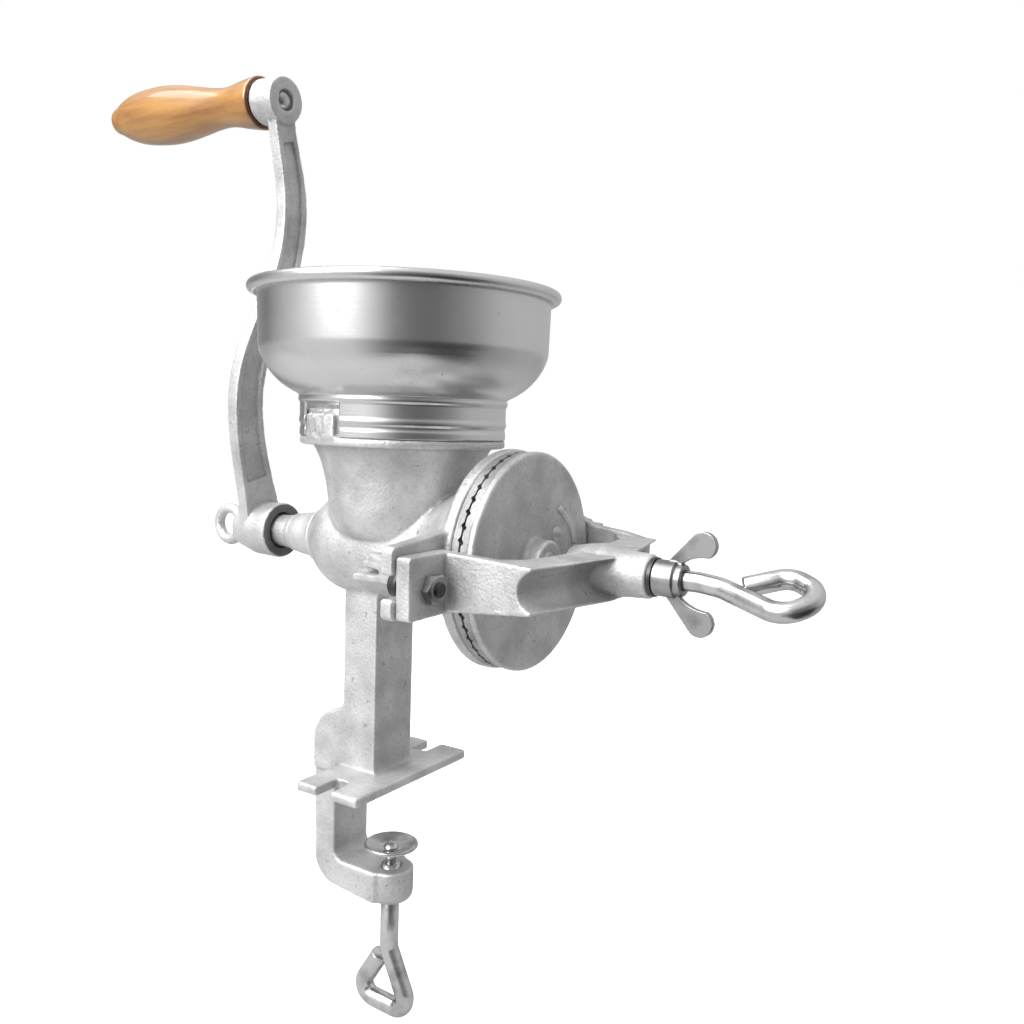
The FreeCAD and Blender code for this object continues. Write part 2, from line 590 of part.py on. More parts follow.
def tooth_grooves(face_x, towards, lean):
    """V grooves cut into a burr's face, each tangent to a small circle round the shaft."""
    grooves = []
    apex = face_x - towards * TOOTH_DEPTH
    mouth = face_x + towards * 0.2
    half = TOOTH_WIDTH / 2 * (1 + 0.2 / TOOTH_DEPTH)
    section = [Vector(apex, lean * TOOTH_OFFSET, TOOTH_INNER_RADIUS),
               Vector(mouth, lean * TOOTH_OFFSET - half, TOOTH_INNER_RADIUS),
               Vector(mouth, lean * TOOTH_OFFSET + half, TOOTH_INNER_RADIUS)]
    groove = face_of(closed_edges(section)).extrude(Vector(0, 0, BURR_RADIUS - TOOTH_INNER_RADIUS + 2))
    for i in range(TOOTH_COUNT):
        copy = groove.copy()
        copy.rotate(Vector(), Vector(1, 0, 0), 360.0 * i / TOOTH_COUNT)
        grooves.append(copy)
    return grooves


def fixed_burr():
    ring = rod_along_x(BURR_RADIUS, FLANGE_FRONT_X, FIXED_BURR_FACE_X)
    ring = ring.cut(rod_along_x(BORE_RADIUS, FLANGE_FRONT_X - 1, FIXED_BURR_FACE_X + 1))
    ring = ring.cut(tooth_grooves(FIXED_BURR_FACE_X, 1, 1))
    heads = circle_of_rods(3, FIXED_SCREW_CIRCLE, BURR_SCREW_HEAD_RADIUS,
                           FIXED_BURR_FACE_X - 2.2, FIXED_BURR_FACE_X + 1)
    shanks = circle_of_rods(3, FIXED_SCREW_CIRCLE, BURR_SCREW_RADIUS,
                            FLANGE_FRONT_X - 1, FIXED_BURR_FACE_X + 1)
    return ring.cut(heads + shanks)


def fixed_burr_screws():
    heads = circle_of_rods(3, FIXED_SCREW_CIRCLE, BURR_SCREW_HEAD_RADIUS,
                           FIXED_BURR_FACE_X - 2.2, FIXED_BURR_FACE_X - 1.2)
    shanks = circle_of_rods(3, FIXED_SCREW_CIRCLE, BURR_SCREW_RADIUS,
                            FLANGE_BACK_X - 3, FIXED_BURR_FACE_X - 2.2)
    return Part.makeCompound([h.fuse(s) for h, s in zip(heads, shanks)])


def moving_burr():
    ring = rod_along_x(BURR_RADIUS, MOVING_BURR_FACE_X, CARRIER_BACK_X)
    ring = ring.cut(rod_along_x(CARRIER_HUB_RADIUS + RUNNING, MOVING_BURR_FACE_X - 1,
                                CARRIER_BACK_X + 1))
    ring = ring.cut(tooth_grooves(MOVING_BURR_FACE_X, -1, -1))
    return ring.cut(circle_of_rods(2, RIVET_CIRCLE, RIVET_RADIUS, MOVING_BURR_FACE_X - 1,
                                   CARRIER_BACK_X + 1, first=RIVET_ANGLE))


def carrier_disc():
    """Rotating disc that backs the moving burr and is pinned to the shaft."""
    hub_end = CARRIER_FACE_X + CARRIER_FRONT_HUB_LENGTH
    disc = spun_about_x([
        (CARRIER_BACK_X - CARRIER_HUB_LENGTH, 0), (CARRIER_BACK_X - CARRIER_HUB_LENGTH, CARRIER_HUB_RADIUS),
        (CARRIER_BACK_X, CARRIER_HUB_RADIUS), (CARRIER_BACK_X, CARRIER_RADIUS),
        (CARRIER_FACE_X - 1.0, CARRIER_RADIUS), (CARRIER_FACE_X, CARRIER_RADIUS - 1.0),
        (CARRIER_FACE_X, CARRIER_FRONT_HUB_RADIUS + 1.2), (CARRIER_FACE_X + 1.2, CARRIER_FRONT_HUB_RADIUS),
        (hub_end - 0.8, CARRIER_FRONT_HUB_RADIUS), (hub_end, CARRIER_FRONT_HUB_RADIUS - 0.8), (hub_end, 0)])
    disc = disc.cut(rod_along_x(SHAFT_RADIUS + RUNNING, CARRIER_BACK_X - CARRIER_HUB_LENGTH - 1,
                                CARRIER_FACE_X))
    disc = disc.cut(rod_along_x(STUB_RADIUS + RUNNING, CARRIER_FACE_X - 1, hub_end + 1))
    disc = disc.cut(drive_pin_rod(DRIVE_PIN_RADIUS))
    return disc.cut(circle_of_rods(2, RIVET_CIRCLE, RIVET_RADIUS, CARRIER_BACK_X - 1,
                                   CARRIER_FACE_X + 1, first=RIVET_ANGLE))


def burr_rivets():
    """Two rivets that hold the moving burr to its carrier, with domed heads outside."""
    shanks = circle_of_rods(2, RIVET_CIRCLE, RIVET_RADIUS, MOVING_BURR_FACE_X + TOOTH_DEPTH + 0.2,
                            CARRIER_FACE_X, first=RIVET_ANGLE)
    sunk = 2.0
    dome_radius = math.hypot(RIVET_HEAD_RADIUS, sunk)
    rivets = []
    for i, shank in enumerate(shanks):
        angle = math.radians(RIVET_ANGLE + 180 * i)
        centre = Vector(CARRIER_FACE_X - sunk, RIVET_CIRCLE * math.cos(angle),
                        RIVET_CIRCLE * math.sin(angle))
        dome = Part.makeSphere(dome_radius, centre)
        keep = rod_along_x(RIVET_HEAD_RADIUS, CARRIER_FACE_X, CARRIER_FACE_X + 5, centre.y, centre.z)
        rivets.append(shank.fuse(dome.common(keep)).removeSplitter())
    return Part.makeCompound(rivets)


def drive_pin_rod(radius, length=2 * CARRIER_HUB_RADIUS):
    """Cross pin through the carrier's hub and the shaft, along Y."""
    pin_x = CARRIER_BACK_X - CARRIER_HUB_LENGTH + 3.6
    return Part.makeCylinder(radius, length, Vector(pin_x, -length / 2, 0), Vector(0, 1, 0))


def drive_pin():
    return drive_pin_rod(DRIVE_PIN_RADIUS, 2 * CARRIER_HUB_RADIUS - 1.5)


# ---------------------------------------------------------------------------------------
# Yoke, its bolts, nuts and washers
# ---------------------------------------------------------------------------------------
def yoke_plan():
    """Bow-shaped plan of the yoke as a prism, taller than the casting."""
    inner_y = YOKE_HALF_WIDTH - YOKE_ARM_THICKNESS
    bar_back = YOKE_FRONT_X - YOKE_BAR_THICKNESS
    half = [(EAR_FRONT_X, -YOKE_HALF_WIDTH), (YOKE_FRONT_X, -YOKE_HALF_WIDTH),
            (YOKE_BOSS_X, -BOSS_RADIUS - 1), (YOKE_BOSS_X, 0)]
    back = [(YOKE_BOSS_X - 18, 0), (YOKE_BOSS_X - 18, -12), (bar_back + 2, -inner_y + 9),
            (bar_back - 5, -inner_y), (EAR_FRONT_X, -inner_y)]
    floor, height = YOKE_ARM_BOTTOM - 15, YOKE_ARM_TOP - YOKE_ARM_BOTTOM + 35
    outline = [Vector(x, y, floor) for x, y in half + back]
    side = face_of(closed_edges(outline)).extrude(Vector(0, 0, height))
    return fused(mirrored_pair(side))


def yoke_side_mask():
    """Side view of the arms and bar: deep at the ears, shallower at the front."""
    return extruded_y([(EAR_FRONT_X, YOKE_ARM_TOP), (YOKE_FRONT_X, YOKE_BAR_TOP),
                       (YOKE_BOSS_X + 5, YOKE_BAR_TOP - 0.4), (YOKE_BOSS_X + 5, YOKE_BAR_BOTTOM + 0.4),
                       (YOKE_FRONT_X, YOKE_BAR_BOTTOM), (EAR_FRONT_X, YOKE_ARM_BOTTOM)],
                      LUG_REACH + 9)


def yoke_flute():
    """Round-bottomed recess along the front of the bar, on the -Y side."""
    middle_z = (YOKE_BAR_TOP + YOKE_BAR_BOTTOM) / 2
    stand_off = YOKE_FLUTE_RADIUS - YOKE_FLUTE_DEPTH
    start = Vector(YOKE_FRONT_X + stand_off, -YOKE_HALF_WIDTH - 4, middle_z)
    end = Vector(YOKE_BOSS_X + stand_off, 0, middle_z)
    length = start.distanceToPoint(end)
    flute = Part.makeCylinder(YOKE_FLUTE_RADIUS, length, start, end - start)
    return flute


def yoke_boss():
    return spun_about_x([
        (BOSS_BACK_X, 0), (BOSS_BACK_X, BOSS_RADIUS), (BOSS_BACK_X + 8, BOSS_RADIUS + 1.6),
        (YOKE_BOSS_X - 8, BOSS_RADIUS + 2.6), (YOKE_BOSS_X, BOSS_RADIUS + 0.7),
        (BOSS_END_X - 0.8, BOSS_RADIUS), (BOSS_END_X, BOSS_RADIUS - 0.8), (BOSS_END_X, 0)])


def yoke_flare():
    """Root of the boss that swells out to the depth of the bar."""
    return spun_about_x([
        (YOKE_BOSS_X - 18, 0), (YOKE_BOSS_X - 18, 17.5), (YOKE_BOSS_X - 14, 17.0),
        (YOKE_BOSS_X - 7, 13.4), (YOKE_BOSS_X, BOSS_RADIUS + 0.7), (YOKE_BOSS_X, 0)])


def yoke_far_shoulder():
    """Taller root of the arm on the +Y side."""
    inner_y = YOKE_HALF_WIDTH - YOKE_ARM_THICKNESS
    outline = [Vector(x, inner_y, z) for x, z in (
        (EAR_FRONT_X, 0), (EAR_FRONT_X, 16.2), (EAR_FRONT_X + 8, 16.2), (EAR_FRONT_X + 16.6, 12.3),
        (EAR_FRONT_X + 33.6, 10.3), (YOKE_FRONT_X - 3, YOKE_BAR_TOP), (YOKE_FRONT_X - 3, 0))]
    return face_of(closed_edges(outline)).extrude(Vector(0, YOKE_ARM_THICKNESS, 0))


def turned_with_yoke(shape):
    """The yoke and its bolts stand a little turned about the shaft axis."""
    shape = shape.copy()
    shape.rotate(Vector(), Vector(1, 0, 0), YOKE_TURN)
    return shape


def yoke_lug():
    lug = box_between((EAR_FRONT_X, -LUG_REACH, YOKE_ARM_BOTTOM),
                      (LUG_FRONT_X, -YOKE_HALF_WIDTH + 3, YOKE_ARM_TOP))
    corners = [e for e in lug.Edges
               if abs(e.tangentAt(e.FirstParameter).x) > 0.99 and e.Vertexes[0].Y < -LUG_REACH + 1]
    return lug.makeFillet(1.6, corners)


def yoke():
    bow = yoke_plan().common(yoke_side_mask())
    for shape in mirrored_pair(yoke_flute()):
        bow = bow.cut(shape)
    bow = fused([bow, yoke_boss(), yoke_flare().common(yoke_side_mask()), yoke_far_shoulder()]
                + mirrored_pair(yoke_lug()))
    bow = bow.cut(rod_along_x(ADJUSTER_RADIUS + RUNNING, BOSS_BACK_X - 8, BOSS_END_X + 1))
    hole = rod_along_x(BOLT_RADIUS + SEAT_GAP, EAR_FRONT_X - 1, LUG_FRONT_X + 1, -BOLT_Y, BOLT_Z)
    for shape in mirrored_pair(hole):
        bow = bow.cut(shape)
    return turned_with_yoke(bow.removeSplitter())


def yoke_bolts():
    """Round-headed bolts, heads behind the ears and threads towards the front."""
    head_face = EAR_BACK_X - WASHER_THICKNESS
    end = LUG_FRONT_X + NUT_HEIGHT + BOLT_TAIL
    turned = [(head_face - BOLT_HEAD_HEIGHT, 0), (head_face - BOLT_HEAD_HEIGHT, BOLT_HEAD_RADIUS - 2.2),
              (head_face - BOLT_HEAD_HEIGHT + 0.9, BOLT_HEAD_RADIUS - 0.6),
              (head_face - 0.7, BOLT_HEAD_RADIUS), (head_face, BOLT_HEAD_RADIUS),
              (head_face, BOLT_RADIUS), (end - 0.5, BOLT_RADIUS), (end, BOLT_RADIUS - 0.5), (end, 0)]
    bolt = spun_about_x(turned)
    bolt.translate(Vector(0, -BOLT_Y, BOLT_Z))
    return turned_with_yoke(Part.makeCompound(mirrored_pair(bolt)))


def yoke_washers():
    start = EAR_BACK_X - WASHER_THICKNESS
    ring = rod_along_x(WASHER_RADIUS, start, EAR_BACK_X, -BOLT_Y, BOLT_Z)
    ring = ring.cut(rod_along_x(BOLT_RADIUS + SEAT_GAP, start - 1, EAR_BACK_X + 1, -BOLT_Y, BOLT_Z))
    return turned_with_yoke(Part.makeCompound(mirrored_pair(ring)))


def yoke_nuts():
    """Hexagon nuts on the front of the yoke's lugs, with their outer corners turned off."""
    end = LUG_FRONT_X + NUT_HEIGHT
    nut = hex_prism(NUT_FLATS, LUG_FRONT_X, end, -BOLT_Y, BOLT_Z)
    crown = spun_about_x([(LUG_FRONT_X, 0), (LUG_FRONT_X, NUT_FLATS), (end - 1.1, NUT_FLATS / 2 + 1.0),
                          (end, NUT_FLATS / 2 - 0.5), (end, 0)])
    crown.translate(Vector(0, -BOLT_Y, BOLT_Z))
    nut = nut.common(crown)
    nut = nut.cut(rod_along_x(BOLT_RADIUS, LUG_FRONT_X - 1, end + 1, -BOLT_Y, BOLT_Z))
    return turned_with_yoke(Part.makeCompound(mirrored_pair(nut)))


# ---------------------------------------------------------------------------------------
# Adjusting screw, thrust ball, lock washer and wing nut
# ---------------------------------------------------------------------------------------
def thrust_ball():
    return Part.makeSphere(BALL_RADIUS, Vector(BALL_X, 0, 0))


def adjusting_screw():
    """Threaded rod whose tail is bent into a teardrop eye."""
    tilt = math.radians(EYE_TILT)
    side = Vector(0, -math.cos(tilt), -math.sin(tilt))

    def at(along, across):
        return Vector(ADJUSTER_BEND_X + along * EYE_LENGTH, 0, -EYE_DROP) + side * across
    tail_start, tail_end = at(0.60, -11.4), at(0.21, -1.8)
    tail_middle = tail_start + (tail_end - tail_start) * 0.6
    points = [Vector(ADJUSTER_TIP_X, 0, 0), Vector(ADJUSTER_SAG_X, 0, 0), at(0, 0), at(0.66, 11.8),
              at(1.0, -1.5), tail_start, tail_middle]
    rod = bent_rod(ADJUSTER_RADIUS, points, (14.0, 16.0, 11.0, 8.0, 10.0))
    tail = Part.makeCylinder(ADJUSTER_RADIUS, (tail_end - tail_middle).Length + 0.5,
                             tail_middle + (tail_start - tail_end).normalize() * 0.5,
                             tail_end - tail_middle)
    rod = rod.fuse(tail).removeSplitter()
    return rod.cut(Part.makeSphere(BALL_RADIUS + RUNNING, Vector(BALL_X, 0, 0)))


def lock_washer():
    ring = rod_along_x(WING_HUB_RADIUS + 0.6, LOCK_WASHER_X, LOCK_WASHER_X + LOCK_WASHER_THICKNESS)
    return ring.cut(rod_along_x(ADJUSTER_RADIUS + SEAT_GAP, LOCK_WASHER_X - 1,
                                LOCK_WASHER_X + LOCK_WASHER_THICKNESS + 1))


def wing(out):
    """One flat teardrop wing of the nut, its lobe centred this far out in the +Z direction."""
    hub = WING_HUB_RADIUS - 2.5
    root_a = Vector(WING_BACK_X + 3.0, 0, hub)
    root_b = Vector(WING_BACK_X + 9.3, 0, hub)
    centre = Vector(WING_BACK_X + WING_LOBE_FORWARD, 0, out)

    def round_lobe(degrees):
        turn = math.radians(degrees)
        return centre + Vector(math.cos(turn), 0, math.sin(turn)) * WING_LOBE_RADIUS
    left, right = round_lobe(142), round_lobe(-62)
    hollow = (root_b + right) * 0.5 + Vector(-1.1, 0, 1.3)
    edges = [Part.LineSegment(root_a, left).toShape(), Part.Arc(left, round_lobe(40), right).toShape(),
             Part.Arc(right, hollow, root_b).toShape(), Part.LineSegment(root_b, root_a).toShape()]
    flat = face_of(edges)
    flat.translate(Vector(0, -WING_THICKNESS / 2, 0))
    return flat.extrude(Vector(0, WING_THICKNESS, 0))


def wing_nut():
    hub = spun_about_x([
        (WING_BACK_X, 0), (WING_BACK_X, WING_HUB_RADIUS), (WING_BACK_X + 9, WING_HUB_RADIUS),
        (WING_BACK_X + 9.6, WING_HUB_RADIUS - 0.9), (WING_BACK_X + WING_HUB_LENGTH, WING_HUB_RADIUS - 1.1),
        (WING_BACK_X + WING_HUB_LENGTH, 0)])
    upper = wing(WING_UPPER_LOBE)
    lower = wing(WING_LOWER_LOBE).mirror(Vector(), Vector(0, 0, 1))
    nut = fused([hub, upper, lower])
    return nut.cut(rod_along_x(ADJUSTER_RADIUS + RUNNING, WING_BACK_X - 1,
                               WING_BACK_X + WING_HUB_LENGTH + 1))


# ---------------------------------------------------------------------------------------
# Crank arm, thumb screw, handle and its bolt
# ---------------------------------------------------------------------------------------
# The S-shaped centre line: share of the crank's length, offset across the arm, width there.
ARM_STATIONS = (
    (0.0, 0.0, 26.0),
    (0.12, -7.1, 20.5),
    (0.249, -13.9, 18.8),
    (0.373, -13.6, 18.2),
    (0.502, -3.0, 17.0),
    (0.636, 8.8, 16.2),
    (0.8, 11.0, 16.0),
    (0.911, 4.2, 14.0),
    (1.0, 0.0, 14.0),
)


def leaning(shape):
    """Lean a piece drawn on the upright arm about the hub, towards the hopper."""
    shape = shape.copy()
    pivot = Vector(ARM_FACE_X, 0, 0)
    shape.Placement = Placement(Vector(), Rotation(Vector(0, 1, 0), CRANK_LEAN), pivot).multiply(
        shape.Placement)
    return shape


def arm_outline(inset, first, last):
    """Flat face between the two edges of the arm, with its sides moved in by inset."""
    stations = [(share * CRANK_LENGTH, across, width)
                for share, across, width in ARM_STATIONS[first:last]]
    left, right = [], []
    for index, (up, across, width) in enumerate(stations):
        before = stations[max(index - 1, 0)]
        after = stations[min(index + 1, len(stations) - 1)]
        slope = math.atan2(after[1] - before[1], after[0] - before[0])
        half = width / 2 - inset
        left.append(Vector(ARM_FACE_X, across - half * math.cos(slope), up + half * math.sin(slope)))
        right.append(Vector(ARM_FACE_X, across + half * math.cos(slope), up - half * math.sin(slope)))
    left_edge, right_edge = Part.BSplineCurve(), Part.BSplineCurve()
    left_edge.interpolate(left)
    right_edge.interpolate(right)
    return face_of([left_edge.toShape(), Part.LineSegment(left[-1], right[-1]).toShape(),
                    right_edge.toShape(), Part.LineSegment(right[0], left[0]).toShape()])


def crank_arm():
    """Cast S-shaped arm with a hub at each end and a shallow groove down both faces."""
    web = arm_outline(0, 0, len(ARM_STATIONS)).extrude(Vector(-ARM_THICKNESS, 0, 0))
    groove = arm_outline(ARM_EDGE, 1, len(ARM_STATIONS) - 1)
    front = groove.copy()
    front.translate(Vector(1, 0, 0))
    web = web.cut(front.extrude(Vector(-1 - ARM_GROOVE_DEPTH, 0, 0)))
    back = groove.copy()
    back.translate(Vector(-ARM_THICKNESS + ARM_GROOVE_DEPTH, 0, 0))
    web = web.cut(back.extrude(Vector(-1 - ARM_GROOVE_DEPTH, 0, 0)))
    top_face = ARM_FACE_X + TOP_HUB_PROUD
    top_hub = rod_along_x(TOP_HUB_RADIUS, top_face - TOP_HUB_LENGTH, top_face, 0, CRANK_LENGTH)
    rims = [e for e in top_hub.Edges if e.Length > 2 * TOP_HUB_RADIUS and e.Closed]
    top_hub = top_hub.makeFillet(0.8, rims)
    arm = leaning(web.fuse(top_hub))
    lower_hub = spun_about_x([
        (HUB_END_X, 0), (HUB_END_X, HUB_END_RADIUS - 1.2), (HUB_END_X + 1.2, HUB_END_RADIUS),
        (HUB_END_X + 14, HUB_RADIUS - 0.5), (HUB_FACE_X - 1.2, HUB_RADIUS),
        (HUB_FACE_X, HUB_RADIUS - 1.2), (HUB_FACE_X, 0)])
    arm = arm.fuse(lower_hub)
    arm = arm.cut(rod_along_x(HUB_RECESS_RADIUS, HUB_FACE_X - HUB_RECESS_DEPTH, HUB_FACE_X + 12))
    arm = arm.cut(rod_along_x(SHAFT_RADIUS, SHAFT_REAR_X - SEAT_GAP, HUB_FACE_X + 1))
    arm = arm.cut(rod_along_x(THUMB_SCREW_RADIUS, HUB_END_X - 1, HUB_FACE_X))
    bolt_hole = rod_along_x(HANDLE_BOLT_RADIUS, top_face - TOP_HUB_LENGTH - 1, top_face + 1,
                            0, CRANK_LENGTH)
    pocket = rod_along_x(HANDLE_BOLT_HEAD_RADIUS + SEAT_GAP, top_face - 2.4, top_face + 1, 0, CRANK_LENGTH)
    return arm.cut(leaning(bolt_hole.fuse(pocket))).removeSplitter()


def crank_thumb_screw():
    """Eye screw in the shaft's end that holds the crank on."""
    ring = Part.makeTorus(THUMB_RING_RADIUS, THUMB_RING_ROD, Vector(THUMB_RING_X, 0, 0), Vector(0, 1, 0))
    collar = rod_along_x(5.6, HUB_END_X - 1.6, HUB_END_X)
    neck = rod_along_x(THUMB_SCREW_RADIUS, THUMB_RING_X + THUMB_RING_RADIUS - 1, HUB_END_X)
    shank = rod_along_x(THUMB_SCREW_RADIUS, HUB_END_X, SHAFT_REAR_X + 10)
    return fused([ring, neck, collar, shank])


def handle_place():
    """x of the hub's outer face, where the handle starts, on the upright arm."""
    return ARM_FACE_X + TOP_HUB_PROUD - TOP_HUB_LENGTH


def handle_grip():
    """Turned pear-shaped wooden grip that spins on its bolt."""
    start = handle_place() - HANDLE_END_GAP
    end = start - HANDLE_LENGTH
    outline = Part.BSplineCurve()
    outline.interpolate([
        Vector(start - 2.0, 0, HANDLE_END_RADIUS), Vector(start - 12, 0, HANDLE_END_RADIUS - 1.4),
        Vector(start - 28, 0, HANDLE_NECK_RADIUS), Vector(start - 50, 0, HANDLE_NECK_RADIUS + 2.7),
        Vector(start - 75, 0, HANDLE_BULGE_RADIUS), Vector(start - 99, 0, HANDLE_BULGE_RADIUS - 1.6),
        Vector(end + 7, 0, HANDLE_BULGE_RADIUS - 5.6), Vector(end, 0, HANDLE_POCKET_RADIUS + 1)])
    first, last = outline.StartPoint, outline.EndPoint
    runs = [Vector(end, 0, HANDLE_POCKET_RADIUS + 1), Vector(end, 0, 0), Vector(start, 0, 0),
            Vector(start, 0, HANDLE_END_RADIUS - 1.6)]
    edges = [outline.toShape(), Part.LineSegment(last, runs[1]).toShape(),
             Part.LineSegment(runs[1], runs[2]).toShape(), Part.LineSegment(runs[2], runs[3]).toShape(),
             Part.LineSegment(runs[3], first).toShape()]
    grip = face_of(edges).revolve(Vector(), Vector(1, 0, 0), 360)
    grip = grip.cut(rod_along_x(HANDLE_BORE_RADIUS, end - 1, start + 1))
    grip = grip.cut(rod_along_x(HANDLE_POCKET_RADIUS, end - 1, end + HANDLE_POCKET_DEPTH))
    grip.translate(Vector(0, 0, CRANK_LENGTH))
    return leaning(grip)


def handle_bolt_tail_x():
    return handle_place() - HANDLE_END_GAP - HANDLE_LENGTH + 1.5


def handle_bolt():
    """Long bolt through the hub and the grip, head sunk in the hub's face."""
    face = ARM_FACE_X + TOP_HUB_PROUD
    shank = rod_along_x(HANDLE_BOLT_RADIUS, handle_bolt_tail_x(), face - 2.4, 0, CRANK_LENGTH)
    dome_height = 2.6
    dome_radius = (HANDLE_BOLT_HEAD_RADIUS ** 2 + dome_height ** 2) / (2 * dome_height)
    dome = Part.makeSphere(dome_radius, Vector(face - 2.4 + dome_height - dome_radius, 0, CRANK_LENGTH))
    head = dome.common(rod_along_x(HANDLE_BOLT_HEAD_RADIUS, face - 2.4, face + 5, 0, CRANK_LENGTH))
    return leaning(shank.fuse(head).removeSplitter())


def handle_nut():
    """Round riveting nut on the bolt's tail, sunk in the grip's end."""
    floor = handle_place() - HANDLE_END_GAP - HANDLE_LENGTH + HANDLE_POCKET_DEPTH
    nut = rod_along_x(HANDLE_POCKET_RADIUS - 1.2, floor - 4.8, floor - 1.8, 0, CRANK_LENGTH)
    return leaning(nut.cut(rod_along_x(HANDLE_BOLT_RADIUS, floor - 8, floor, 0, CRANK_LENGTH)))


def handle_washer():
    floor = handle_place() - HANDLE_END_GAP - HANDLE_LENGTH + HANDLE_POCKET_DEPTH
    ring = rod_along_x(HANDLE_POCKET_RADIUS - 0.6, floor - 1.8, floor - SEAT_GAP, 0, CRANK_LENGTH)
    return leaning(ring.cut(rod_along_x(HANDLE_BOLT_RADIUS, floor - 8, floor + 1, 0, CRANK_LENGTH)))


# ---------------------------------------------------------------------------------------
# Clamp screw and its pad
# ---------------------------------------------------------------------------------------
PAD_UNDER_Z = JAW_FLOOR_Z + PAD_RAISED


def clamp_screw():
    """Screw with a triangular loop bent from its own rod, and a riveted neck at the top."""
    x = CLAMP_SCREW_X
    bend_z = JAW_FLOOR_Z - LOOP_SHANK
    low_z = bend_z - LOOP_DROP
    left_corner, tail_end = Vector(x - LOOP_LEFT, 0, low_z + LOOP_RISE), Vector(x - 5.3, 0, bend_z - 5.5)
    tail_middle = (left_corner + tail_end) * 0.5
    points = [Vector(x, 0, JAW_FLOOR_Z + 1), Vector(x, 0, bend_z), Vector(x + LOOP_RIGHT, 0, low_z),
              left_corner, tail_middle]
    rod = bent_rod(CLAMP_SCREW_RADIUS, points, (6.0, 6.5, 6.5))
    upwards = (tail_end - tail_middle).normalize()
    tail = Part.makeCylinder(CLAMP_SCREW_RADIUS, (tail_end - tail_middle).Length + 0.5,
                             tail_middle - upwards * 0.5, upwards)
    neck = rod_along_z(CLAMP_NECK_RADIUS, JAW_FLOOR_Z + 1, PAD_UNDER_Z + PAD_THICKNESS + 0.2, x)
    rivet_z = PAD_UNDER_Z + PAD_THICKNESS + 0.2
    dome = Part.makeSphere(4.2, Vector(x, 0, rivet_z - 1.6))
    rivet = dome.common(rod_along_z(5, rivet_z, rivet_z + 5, x))
    return fused([rod, tail, neck, rivet])


def clamp_pad():
    """Dished steel cap that swivels on the screw's neck, hollow side up."""
    x = CLAMP_SCREW_X
    low, flat = PAD_UNDER_Z, 5.5
    rim_z = low + PAD_DISH
    ring = spun_about_z([
        (CLAMP_NECK_RADIUS + RUNNING, low), (flat, low), (PAD_RADIUS - 2.0, rim_z - 0.6),
        (PAD_RADIUS, rim_z), (PAD_RADIUS, rim_z + PAD_THICKNESS * 0.8),
        (PAD_RADIUS - 2.4, rim_z + PAD_THICKNESS - 0.6), (flat, low + PAD_THICKNESS),
        (CLAMP_NECK_RADIUS + RUNNING, low + PAD_THICKNESS)], x)
    return ring


# ---------------------------------------------------------------------------------------
# Write every piece
# ---------------------------------------------------------------------------------------
PIECES = {
    "body_casting": body_casting,
    "hopper_bowl": hopper_bowl,
    "worm_shaft": worm_shaft,
    "drive_pin": drive_pin,
    "fixed_burr": fixed_burr,
    "fixed_burr_screws": fixed_burr_screws,
    "moving_burr": moving_burr,
    "carrier_disc": carrier_disc,
    "burr_rivets": burr_rivets,
    "yoke": yoke,
    "yoke_bolts": yoke_bolts,
    "yoke_washers": yoke_washers,
    "yoke_nuts": yoke_nuts,
    "thrust_ball": thrust_ball,
    "adjusting_screw": adjusting_screw,
    "lock_washer": lock_washer,
    "wing_nut": wing_nut,
    "crank_arm": crank_arm,
    "crank_thumb_screw": crank_thumb_screw,
    "handle_grip": handle_grip,
    "handle_bolt": handle_bolt,
    "handle_washer": handle_washer,
    "handle_nut": handle_nut,
    "clamp_screw": clamp_screw,
    "clamp_pad": clamp_pad,
}

os.makedirs("parts", exist_ok=True)
for name, make in PIECES.items():
    piece = lift_to_table(make())
    piece.exportStep("parts/" + name + ".step")
    box = piece.BoundBox
    print(name, "solids", len(piece.Solids), "valid", piece.isValid(), "volume", round(piece.Volume),
          [round(v, 1) for v in (box.XMin, box.XMax, box.YMin, box.YMax, box.ZMin, box.ZMax)])
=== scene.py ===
import math

import bmesh
import bpy
from mathutils import Matrix, Vector, noise


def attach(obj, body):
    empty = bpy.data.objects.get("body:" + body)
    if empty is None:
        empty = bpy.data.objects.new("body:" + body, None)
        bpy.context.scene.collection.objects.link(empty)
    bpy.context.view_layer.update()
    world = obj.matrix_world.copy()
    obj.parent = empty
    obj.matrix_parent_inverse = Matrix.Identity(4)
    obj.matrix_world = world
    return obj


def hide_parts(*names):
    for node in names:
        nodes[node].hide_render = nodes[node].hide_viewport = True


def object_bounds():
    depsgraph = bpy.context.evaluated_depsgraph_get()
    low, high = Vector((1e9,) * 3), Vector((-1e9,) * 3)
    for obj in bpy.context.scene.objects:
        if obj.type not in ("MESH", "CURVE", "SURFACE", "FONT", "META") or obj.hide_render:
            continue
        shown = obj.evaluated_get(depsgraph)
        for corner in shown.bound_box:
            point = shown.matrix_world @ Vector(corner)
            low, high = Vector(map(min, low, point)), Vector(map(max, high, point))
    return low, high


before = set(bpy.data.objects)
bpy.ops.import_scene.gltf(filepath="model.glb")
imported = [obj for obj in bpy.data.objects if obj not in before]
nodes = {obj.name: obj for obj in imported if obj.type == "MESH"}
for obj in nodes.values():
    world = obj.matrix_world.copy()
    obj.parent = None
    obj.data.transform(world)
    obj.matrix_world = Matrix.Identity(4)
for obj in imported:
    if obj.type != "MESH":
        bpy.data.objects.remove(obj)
cad_low, cad_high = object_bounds()

# Body casting: throat, barrel, flange, ears, post and clamp poured as one piece of iron.
# It is sand cast, fettled and dipped in tin, so its edges are soft and its skin is grainy.
# A rough cast lug stands on the throat, and two fine turned lines run round the bearing's neck.

mm = 0.001
shaft_height = 118.5


